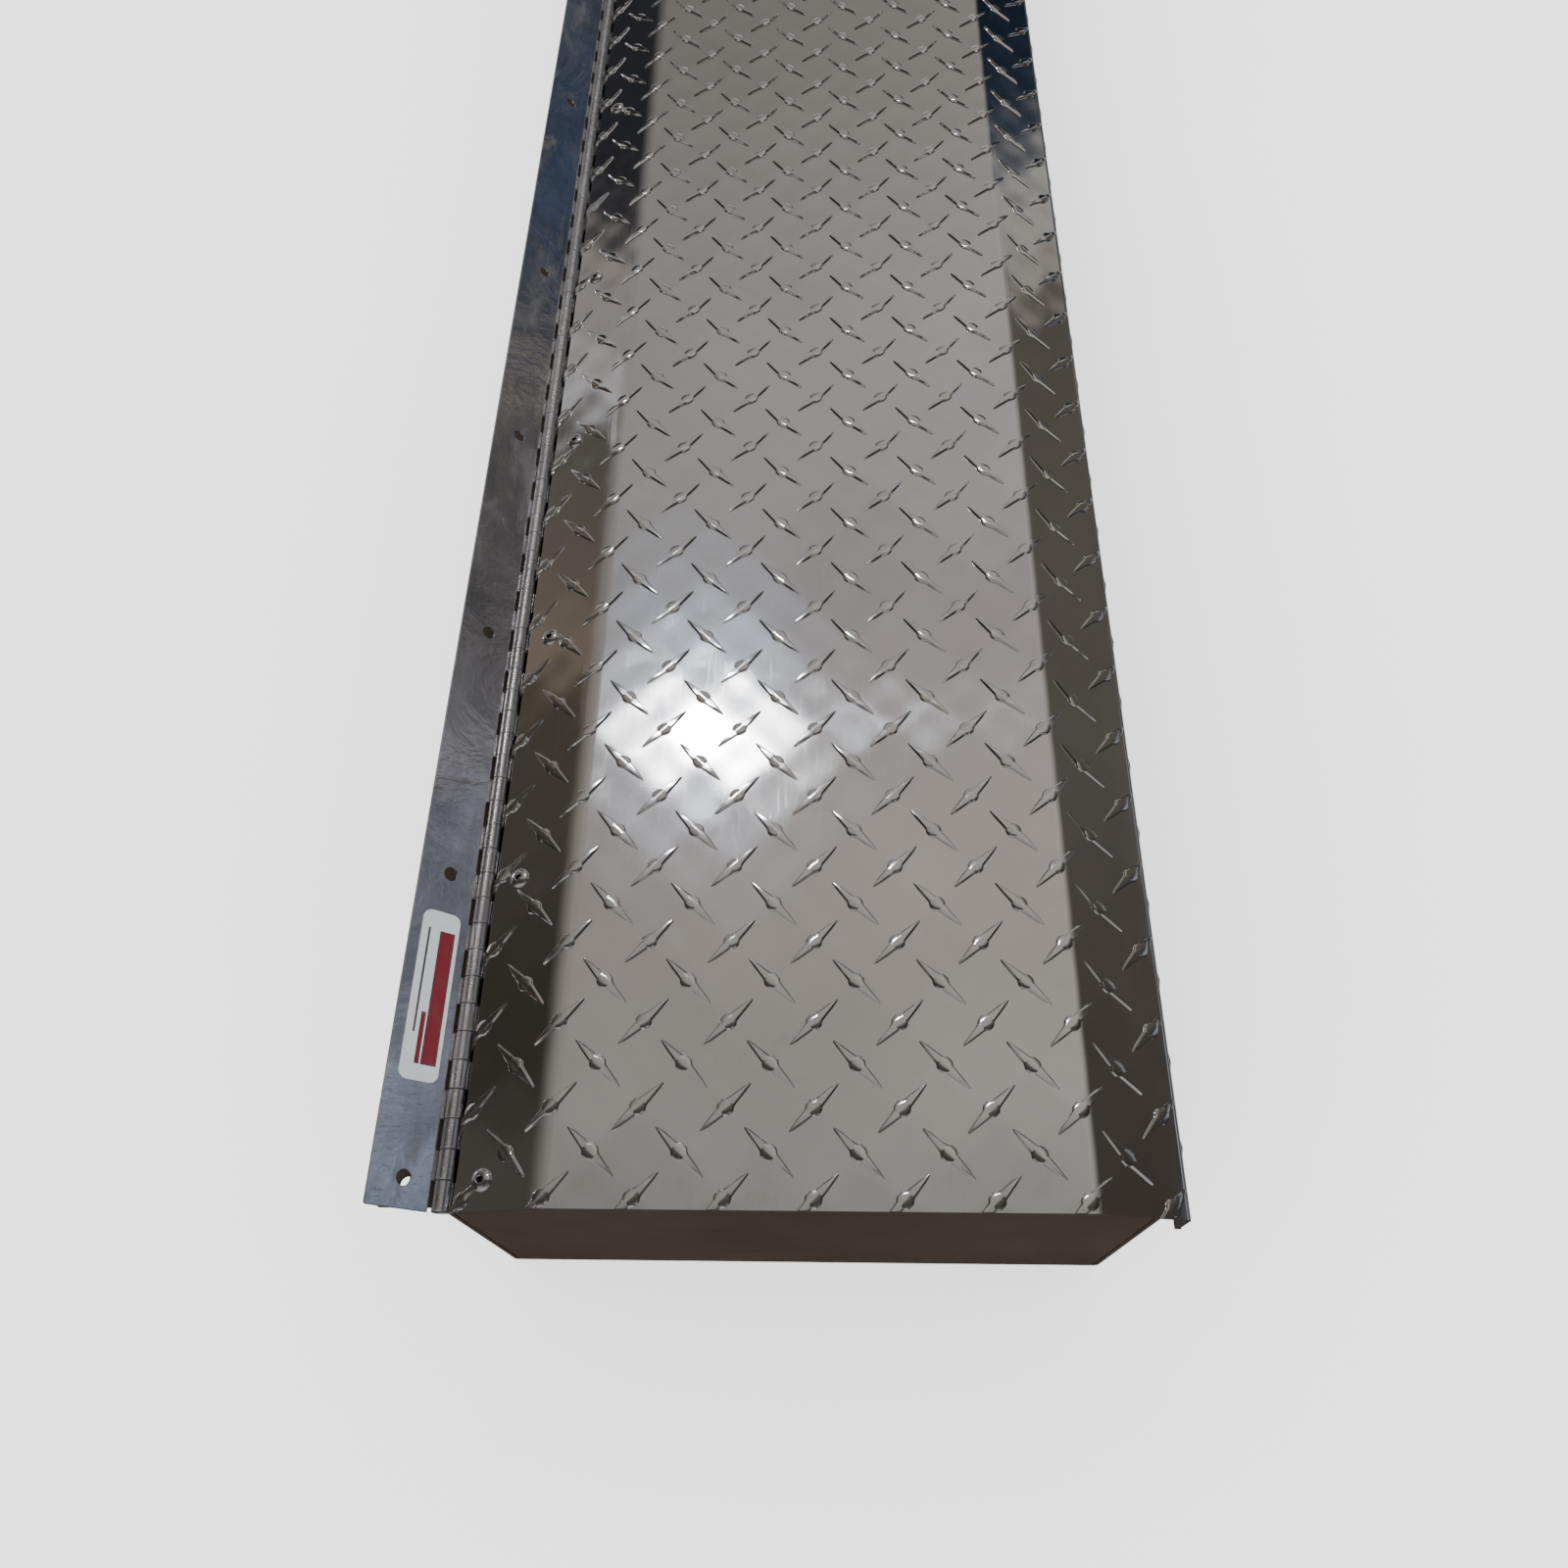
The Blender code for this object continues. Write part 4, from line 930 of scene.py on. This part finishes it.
def axle(node, name, reach, y, pivot):
    """A plain pin across a latch."""
    x, z = pivot
    edge = 0.4 * MM
    long, r = 2 * reach, LATCH_PIN_R
    profile = [(0, long), (r - edge, long), (r, long - edge), (r, edge), (r - edge, 0), (0, 0)]
    turned(node, name, profile, (x, y - reach, z), (x, y + reach, z))


PADDLE_PIVOT = (136 * MM, 104.5 * MM)
PAWL_PIVOT = (105 * MM, 92 * MM)
PAN_RIM = 10 * MM
PAN_BACK = 117 * MM
PAN_WALL = 1.5 * MM
GASKET_T = 1.5 * MM
FIT_GAP = 0.3 * MM
LATCH_PIN_R = 2.5 * MM
PIN_REACH = 21.5 * MM
PAN_FACE = FRONT + 2 * FIT_GAP + GASKET_T + PAN_WALL
LATCH_RIVET_R = 2 * MM
LOCK_Z = 82 * MM
LOCK_R = 7.5 * MM
PADDLE_FACE = 139.8 * MM
PADDLE_T = 3 * MM
PIVOT_HOLE_R = 2.8 * MM
EAR_REACH = 19.25 * MM
EAR_T = 2.5 * MM
KEY_WAY = (0.6 * MM, 3.5 * MM)
RIVET_HEAD = 1.4 * MM
RIVET_TAIL = 3 * MM


def build_pan(end, y):
    """Pressed dish with rounded corners, rolled rim, ears and pivot holes."""
    px, pz = PADDLE_PIVOT
    hx, hz = PAWL_PIVOT
    rim, dish = PAN_FACE - PAN_WALL, PAN_BACK + PAN_WALL
    levels = (
        (PAN_BACK, -1.4 * MM, 2.6), (PAN_BACK + 0.6 * MM, -0.3 * MM, 3.4), (PAN_BACK + 2.0 * MM, 0.0, 3.6),
        (rim, 0.0, 3.6), (rim, PAN_RIM, 5.0), (PAN_FACE - 0.5 * MM, PAN_RIM, 5.0),
        (PAN_FACE, PAN_RIM - 0.5 * MM, 4.6), (PAN_FACE, -PAN_WALL + 1.2 * MM, 3.4),
        (PAN_FACE - 0.4 * MM, -PAN_WALL + 0.3 * MM, 3.0), (PAN_FACE - 1.2 * MM, -PAN_WALL, 2.6),
        (dish + 1.6 * MM, -PAN_WALL, 2.6), (dish + 0.4 * MM, -PAN_WALL - 0.5 * MM, 2.4),
        (dish, -PAN_WALL - 1.6 * MM, 2.2),
    )

    def ring(x, grow, corner):
        a, b = PAN_HALF + grow, (PAN_HIGH - PAN_LOW) / 2 + grow
        mid = (PAN_HIGH + PAN_LOW) / 2
        r = corner * MM
        pts = []
        for sy, sz, quarter in ((1, 1, 0), (-1, 1, 1), (-1, -1, 2), (1, -1, 3)):
            for k in range(6):
                t = (quarter + k / 5) * math.pi / 2
                pts.append((x, y + sy * (a - r) + r * math.cos(t), mid + sz * (b - r) + r * math.sin(t)))
        return pts

    work = bmesh.new()
    rows = [[work.verts.new(p) for p in ring(*level)] for level in levels]
    bridge(work, rows)
    work.faces.new(rows[0])
    work.faces.new(rows[-1])
    pan = link("latch_dish_" + end, work, CHROME, 40)
    slot_low = (PAN_BACK - MM, y - 8 * MM, hz - 4 * MM)
    tools = [
        cylinder(PIVOT_HOLE_R, (px, y - PAN_HALF - MM, pz), (px, y + PAN_HALF + MM, pz), 24),
        brick(slot_low, (PAN_BACK + 3 * MM, y + 8 * MM, hz + 14 * MM), 1.5 * MM),
    ]
    for ry, rz in rivet_spots(y):
        tools.append(cylinder(LATCH_RIVET_R + FIT_GAP, (FRONT, ry, rz), (PAN_FACE + 2 * MM, ry, rz), 20))
    carve(pan, tools)
    ears = bmesh.new()
    for side in (-1, 1):
        low = y + side * EAR_REACH - EAR_T / 2
        outline = [(PAN_BACK + 0.6 * MM, hz - 8 * MM), (PAN_BACK + 0.6 * MM, hz + 8 * MM)]
        outline += arc((hx, hz), 7.6 * MM, 90, 270, 12)
        sweep(ears, [[(x, face, z) for x, z in outline] for face in (low, low + EAR_T)])
    ear_piece = link("pan_ears", ears, CHROME, 40)
    carve(ear_piece, [cylinder(PIVOT_HOLE_R, (hx, y - PAN_HALF, hz), (hx, y + PAN_HALF, hz), 24)])
    add_mesh(pan, ear_piece.data)
    bpy.data.objects.remove(ear_piece, do_unlink=True)
    smooth(pan.data, 40)
    settle(pan, "tub", "chrome_latch", "latch_pan_" + end)


def rivet_spots(y):
    half_rim = PAN_RIM / 2
    heights = (PAN_LOW - half_rim, PAN_HIGH + half_rim)
    return [(y + side * (PAN_HALF + half_rim), z) for side in (-1, 1) for z in heights]


def build_lock(end, y):
    """Lock barrel with a stepped face and a key way."""
    face = PADDLE_FACE + 1.5 * MM
    tail = PADDLE_FACE - PADDLE_T - 10 * MM
    long = face - tail
    profile = [
        (0, long - 0.5 * MM), (4.6 * MM, long - 0.5 * MM), (5.0 * MM, long - 0.9 * MM),
        (5.3 * MM, long - 0.9 * MM), (5.7 * MM, long - 0.1 * MM), (6.2 * MM, long), (8.4 * MM, long),
        (9.0 * MM, long - 0.5 * MM), (9.0 * MM, long - 1.2 * MM), (LOCK_R, long - 1.2 * MM),
        (LOCK_R, 0.5 * MM), (LOCK_R - 0.5 * MM, 0), (0, 0),
    ]
    lock = lathe("key_lock_" + end, profile, BRASS, stance(Vector((tail, y, LOCK_Z)), Vector((1, 0, 0))), 48)
    wide, tall = KEY_WAY
    low = (face - 4 * MM, y - wide, LOCK_Z - tall)
    carve(lock, [brick(low, (face + 3 * MM, y + wide, LOCK_Z + tall))])
    smooth(lock.data, 35)
    settle(lock, "lock_" + end, "lock_brass", "lock_cylinder_" + end)


STRUT_Y = 610 * MM
STRUT_BASE = (16 * MM, -36 * MM)
STRUT_STUD = (150 * MM, -10 * MM)
TUBE_R = 9 * MM
BORE_R = 4.5 * MM
TUBE_L = 104 * MM
ROD_R = 4 * MM
EYE_R = 7 * MM
EYE_HALF = 4 * MM
EYE_BORE = 4.1 * MM


def eye(centre, y):
    """Moulded strut end: a ring with softened rims."""
    e = 0.7 * MM
    half = [(EYE_BORE, EYE_HALF - e), (EYE_BORE + e, EYE_HALF), (EYE_R - e, EYE_HALF), (EYE_R, EYE_HALF - e)]
    work = bmesh.new()
    rings = [hoop(work, r, z, 36) for r, z in half + [(r, -z) for r, z in reversed(half)]]
    bridge(work, rings + rings[:1])
    turn = Matrix.Translation((centre.x, y, centre.z)) @ Matrix.Rotation(math.pi / 2, 4, "X")
    bmesh.ops.transform(work, matrix=turn, verts=work.verts)
    return work


def merge_in(piece, work):
    """Add a finished closed body to a piece."""
    bmesh.ops.recalc_face_normals(work, faces=work.faces)
    add_mesh(piece, as_mesh(work))
    smooth(piece.data, 35)


def build_strut(end, sign):
    y = sign * STRUT_Y
    base = Vector((AXIS.x + STRUT_BASE[0], y, AXIS.z + STRUT_BASE[1]))
    stud = Vector((AXIS.x + STRUT_STUD[0], y, AXIS.z + STRUT_STUD[1]))
    run = stud - base
    stand = stance(base, run.normalized())
    neck = 4.8 * MM
    tube_profile = [
        (0, EYE_R + 6 * MM), (BORE_R, EYE_R + 6 * MM), (BORE_R, TUBE_L - 0.6 * MM),
        (BORE_R + 0.6 * MM, TUBE_L), (TUBE_R - 1.6 * MM, TUBE_L),
        (TUBE_R - 0.5 * MM, TUBE_L - 0.6 * MM), (TUBE_R, TUBE_L - 2.0 * MM),
        (TUBE_R, TUBE_L - 5.0 * MM), (TUBE_R - 0.5 * MM, TUBE_L - 5.8 * MM),
        (TUBE_R, TUBE_L - 6.6 * MM), (TUBE_R, EYE_R + 3.0 * MM), (TUBE_R - 1.6 * MM, EYE_R + 0.8 * MM),
        (neck, EYE_R + 0.3 * MM), (neck, EYE_BORE + 0.8 * MM), (0, EYE_BORE + 0.8 * MM),
    ]
    tube = lathe("strut_tube_" + end, tube_profile, BLACK, stand, 36)
    merge_in(tube, eye(base, y))
    settle(tube, "strut_tube_" + end, "black_steel", "strut_cylinder_" + end)
    far = run.length
    rod_profile = [
        (0, far - EYE_BORE - 0.8 * MM), (neck, far - EYE_BORE - 0.8 * MM),
        (neck, far - EYE_R - 1.5 * MM), (ROD_R, far - EYE_R - 2.2 * MM), (ROD_R, EYE_R + 14.5 * MM),
        (ROD_R - 0.5 * MM, EYE_R + 14 * MM), (0, EYE_R + 14 * MM),
    ]
    shaft = lathe("strut_shaft_" + end, rod_profile, SHAFT, stand, 32)
    merge_in(shaft, eye(stud, y))
    settle(shaft, "strut_shaft_" + end, "polished_steel", "strut_rod_" + end)


def build_pan_rivets(end, y):
    head = PAN_FACE + FIT_GAP
    tail = FRONT - WALL - FIT_GAP - RIVET_TAIL
    long = head + RIVET_HEAD - tail
    profile = [
        (0, long - 0.7 * MM), (0.8 * MM, long - 0.7 * MM), (1.0 * MM, long - 0.15 * MM),
        (1.5 * MM, long), (2.6 * MM, long - 0.35 * MM), (3.4 * MM, long - 0.85 * MM),
        (3.8 * MM, long - 1.3 * MM), (3.7 * MM, long - RIVET_HEAD), (LATCH_RIVET_R, long - RIVET_HEAD),
        (LATCH_RIVET_R, RIVET_TAIL), (LATCH_RIVET_R * 1.5, 2 * MM), (LATCH_RIVET_R * 0.8, 0), (0, 0),
    ]
    for number, (ry, rz) in enumerate(rivet_spots(y), start=1):
        where = "rivet_%s_%d" % (end, number)
        turned("pan_" + where, "dish_" + where, profile, (tail, ry, rz), (head, ry, rz), 24)


for end, sign in (("near", -1), ("far", 1)):
    y = sign * LATCH_Y
    build_pan(end, y)
    build_pan_rivets(end, y)
    axle("paddle_pin_" + end, "paddle_axle_" + end, PAN_HALF, y, PADDLE_PIVOT)
    axle("pawl_pin_" + end, "pawl_axle_" + end, PIN_REACH, y, PAWL_PIVOT)
    build_lock(end, y)
    build_strut(end, sign)

# -------- floor


def build_floor():
    work = bmesh.new()
    bmesh.ops.create_grid(work, x_segments=1, y_segments=1, size=8)
    for v in work.verts:
        v.co.z = -1 * MM
    pale = matt("studio_floor", (0.90, 0.90, 0.90), (0.93, 0.93, 0.93), 0.9, 3, 0.01 * MM)
    shader = [n for n in pale.node_tree.nodes if n.type == "BSDF_PRINCIPLED"][0]
    shader.inputs["Emission Color"].default_value = (1, 1, 1, 1)
    shader.inputs["Emission Strength"].default_value = 0.6
    floor = link("studio_floor", work, pale)
    floor.visible_glossy = False


build_floor()

# -------- world: the room the bright metal mirrors
# Each stop: how far the direction points along the box, then a linear colour
LOW_LEFT = [
    (-1, 0.40, 0.40, 0.40), (-0.62, 0.34, 0.34, 0.34), (-0.52, 0.040, 0.036, 0.032),
    (-0.1, 0.026, 0.023, 0.020), (0.3, 0.026, 0.023, 0.020), (0.6, 0.12, 0.11, 0.10),
    (0.9, 0.20, 0.19, 0.18), (1, 0.22, 0.21, 0.20),
]
LEFT = [
    (-1, 0.40, 0.40, 0.40), (-0.45, 0.34, 0.33, 0.32), (-0.2, 0.045, 0.038, 0.033),
    (0.13, 0.066, 0.060, 0.054), (0.20, 0.066, 0.060, 0.054), (0.26, 0.040, 0.034, 0.028),
    (0.34, 0.040, 0.035, 0.028), (0.42, 0.060, 0.052, 0.046), (0.50, 0.066, 0.058, 0.046),
    (0.532, 0.075, 0.064, 0.050), (0.546, 0.200, 0.160, 0.127), (0.60, 0.125, 0.103, 0.086),
    (0.65, 0.105, 0.093, 0.080), (0.690, 0.080, 0.072, 0.060), (0.702, 0.54, 0.54, 0.57),
    (0.716, 0.47, 0.46, 0.47), (0.735, 0.30, 0.28, 0.265), (0.774, 0.285, 0.255, 0.24),
    (0.786, 0.045, 0.045, 0.050), (0.81, 0.020, 0.021, 0.026), (0.90, 0.024, 0.026, 0.029),
    (0.95, 0.28, 0.28, 0.29), (1, 0.34, 0.34, 0.35),
]
FLAT = [
    (-1, 0.50, 0.50, 0.50), (-0.68, 0.44, 0.43, 0.42), (-0.60, 0.12, 0.115, 0.11),
    (-0.28, 0.09, 0.085, 0.08), (-0.08, 0.05, 0.045, 0.04), (0.10, 0.10, 0.09, 0.08),
    (0.17, 0.30, 0.285, 0.27), (0.26, 0.345, 0.325, 0.305), (0.36, 0.355, 0.325, 0.300),
    (0.45, 0.385, 0.350, 0.325), (0.55, 0.355, 0.325, 0.310), (0.60, 0.310, 0.285, 0.275),
    (0.66, 0.355, 0.340, 0.330), (0.72, 0.365, 0.350, 0.345), (0.775, 0.345, 0.320, 0.315),
    (0.81, 0.290, 0.280, 0.265), (0.85, 0.235, 0.218, 0.203), (0.89, 0.205, 0.195, 0.180),
    (0.94, 0.40, 0.39, 0.38), (1, 0.50, 0.49, 0.48),
]
RIGHT = [
    (-1, 0.12, 0.12, 0.12), (-0.45, 0.10, 0.09, 0.085), (-0.2, 0.035, 0.029, 0.025),
    (0.20, 0.056, 0.048, 0.041), (0.35, 0.076, 0.066, 0.057), (0.47, 0.097, 0.089, 0.079),
    (0.60, 0.096, 0.086, 0.074), (0.745, 0.098, 0.087, 0.075), (0.757, 0.17, 0.155, 0.14),
    (0.765, 0.30, 0.275, 0.25), (0.797, 0.40, 0.39, 0.36), (0.807, 0.30, 0.29, 0.285),
    (0.818, 0.10, 0.105, 0.125), (0.834, 0.018, 0.028, 0.046), (0.86, 0.008, 0.015, 0.026),
    (1, 0.02, 0.025, 0.035),
]
OUTER = [
    (-1, 0.42, 0.42, 0.42), (-0.62, 0.36, 0.36, 0.36), (-0.52, 0.05, 0.05, 0.05),
    (0.02, 0.035, 0.035, 0.04), (0.13, 0.24, 0.27, 0.34), (0.25, 0.23, 0.25, 0.30),
    (0.34, 0.15, 0.15, 0.175), (0.44, 0.19, 0.19, 0.215), (0.52, 0.135, 0.125, 0.122),
    (0.58, 0.100, 0.093, 0.090), (0.65, 0.086, 0.080, 0.075), (0.69, 0.105, 0.098, 0.092),
    (0.705, 0.30, 0.26, 0.22), (0.72, 0.09, 0.085, 0.085), (0.76, 0.040, 0.044, 0.060),
    (0.795, 0.048, 0.066, 0.110), (0.82, 0.026, 0.038, 0.066), (0.85, 0.055, 0.062, 0.078),
    (1, 0.05, 0.055, 0.07),
]
LOW_RIGHT = [
    (-1, 0.07, 0.065, 0.06), (-0.2, 0.045, 0.040, 0.037), (0.3, 0.045, 0.041, 0.038),
    (1, 0.07, 0.07, 0.07),
]
# What lies low on either side: the pale floor, beyond the box's far end
GROUND = [
    (-1, 0.10, 0.10, 0.10), (-0.6, 0.06, 0.055, 0.052), (0.02, 0.05, 0.045, 0.042),
    (0.15, 0.26, 0.26, 0.26), (1, 0.36, 0.36, 0.36),
]
BACKDROP = (1.6, 1.6, 1.6)
# A ceiling lamp and its flare: roll in degrees, position along, half widths, strength, tint
GLOW = (
    (-7.5, 0.510, 2.7, 0.0125, 60.0, (1.0, 1.0, 1.02)),
    (-8.0, 0.526, 4.6, 0.070, 0.72, (0.72, 0.93, 1.34)),
    (1.0, 0.520, 8.0, 0.006, 1.2, (0.86, 0.98, 1.16)),
)


def build_world():
    world = bpy.data.worlds.new("studio")
    bpy.context.scene.world = world
    world.use_nodes = True
    tree = world.node_tree
    way = add(tree, "TexCoord", {}, "Generated")
    broad = noise(tree, way, 4.5, 3, 0.5, 0.3)
    small = noise(tree, way, 13, 3, 0.55, 0.5)
    drift = maths(tree, "MULTIPLY", maths(tree, "SUBTRACT", small, 0.5), 0.05)
    along = maths(tree, "ADD", part_of(tree, way, "Y"), drift)
    roll = maths(tree, "ARCTAN2", part_of(tree, way, "X"), part_of(tree, way, "Z"))
    roll = maths(tree, "MULTIPLY", roll, 180 / math.pi)
    sway = maths(tree, "MULTIPLY", maths(tree, "SUBTRACT", broad, 0.5), 6)
    roll = maths(tree, "ADD", roll, sway)

    def ramp(stops):
        node = tree.nodes.new("ShaderNodeValToRGB")
        elements = node.color_ramp.elements
        while len(elements) < len(stops):
            elements.new(0.5)
        for element, (position, *colour) in zip(elements, stops):
            element.position = (position + 1) / 2
            element.color = (*colour, 1)
        feed(tree, node.inputs["Fac"], remap(tree, along, -1, 1, 0, 1))
        return node.outputs["Color"]

    def fade(low, high):
        inputs = {"Value": roll, "From Min": low, "From Max": high}
        return add(tree, "MapRange", inputs, "Result", interpolation_type="SMOOTHSTEP")

    def scaled(colour, level):
        return add(tree, "VectorMath", {0: colour, "Scale": level}, "Vector", operation="SCALE")

    flat = scaled(ramp(FLAT), remap(tree, roll, -15, 15, 0.88, 1.19))
    streaks = noise(tree, stretched(tree, way, (1.0, 2.2, 1.0)), 16, 4, 0.6, 0.8)
    outer = scaled(ramp(OUTER), remap(tree, streaks, 0.36, 0.66, 0.55, 1.9))
    ground = ramp(GROUND)
    colour = ramp(LOW_LEFT)
    for low, high, zone in (
        (-66, -58, ramp(LEFT)),
        (-44, -14, flat),
        (17, 38, ramp(RIGHT)),
        (55, 61, outer),
        (73, 80, ramp(LOW_RIGHT)),
        (90, 114, ground),
    ):
        colour = mix_colour(tree, fade(low, high), colour, zone)
    colour = mix_colour(tree, fade(-114, -90), ground, colour)
    total = scaled(colour, remap(tree, small, 0.25, 0.75, 0.90, 1.10))

    def away(value, middle, reach):
        share = maths(tree, "DIVIDE", maths(tree, "SUBTRACT", value, middle), reach)
        return maths(tree, "POWER", maths(tree, "ABSOLUTE", share), 2)

    for degrees, position, wide, long, strength, hue in GLOW:
        off = maths(tree, "ADD", away(roll, degrees, wide), away(along, position, long))
        spot = maths(tree, "EXPONENT", maths(tree, "MULTIPLY", off, -1))
        tint = scaled(hue, maths(tree, "MULTIPLY", spot, strength))
        total = add(tree, "VectorMath", {0: total, 1: tint}, "Vector", operation="ADD")
    seen = mix_colour(tree, add(tree, "LightPath", {}, "Is Camera Ray"), total, BACKDROP)
    sockets = tree.nodes["Background"].inputs
    feed(tree, sockets["Color"], seen)
    sockets["Strength"].default_value = 1.0


build_world()


def soft_sun(name, strength, spread, where):
    """Broad overhead light that brightens the floor and paint but isn't mirrored."""
    data = bpy.data.lights.new(name, "SUN")
    data.energy = strength
    data.angle = math.radians(spread)
    obj = show(name, data)
    obj.rotation_euler = (-Vector(where)).to_track_quat("-Z", "Y").to_euler()
    obj.visible_glossy = False


soft_sun("ceiling", 5.6, 130, (-0.1, -0.2, 1))
soft_sun("key", 1.3, 50, (-0.6, -0.8, 1))
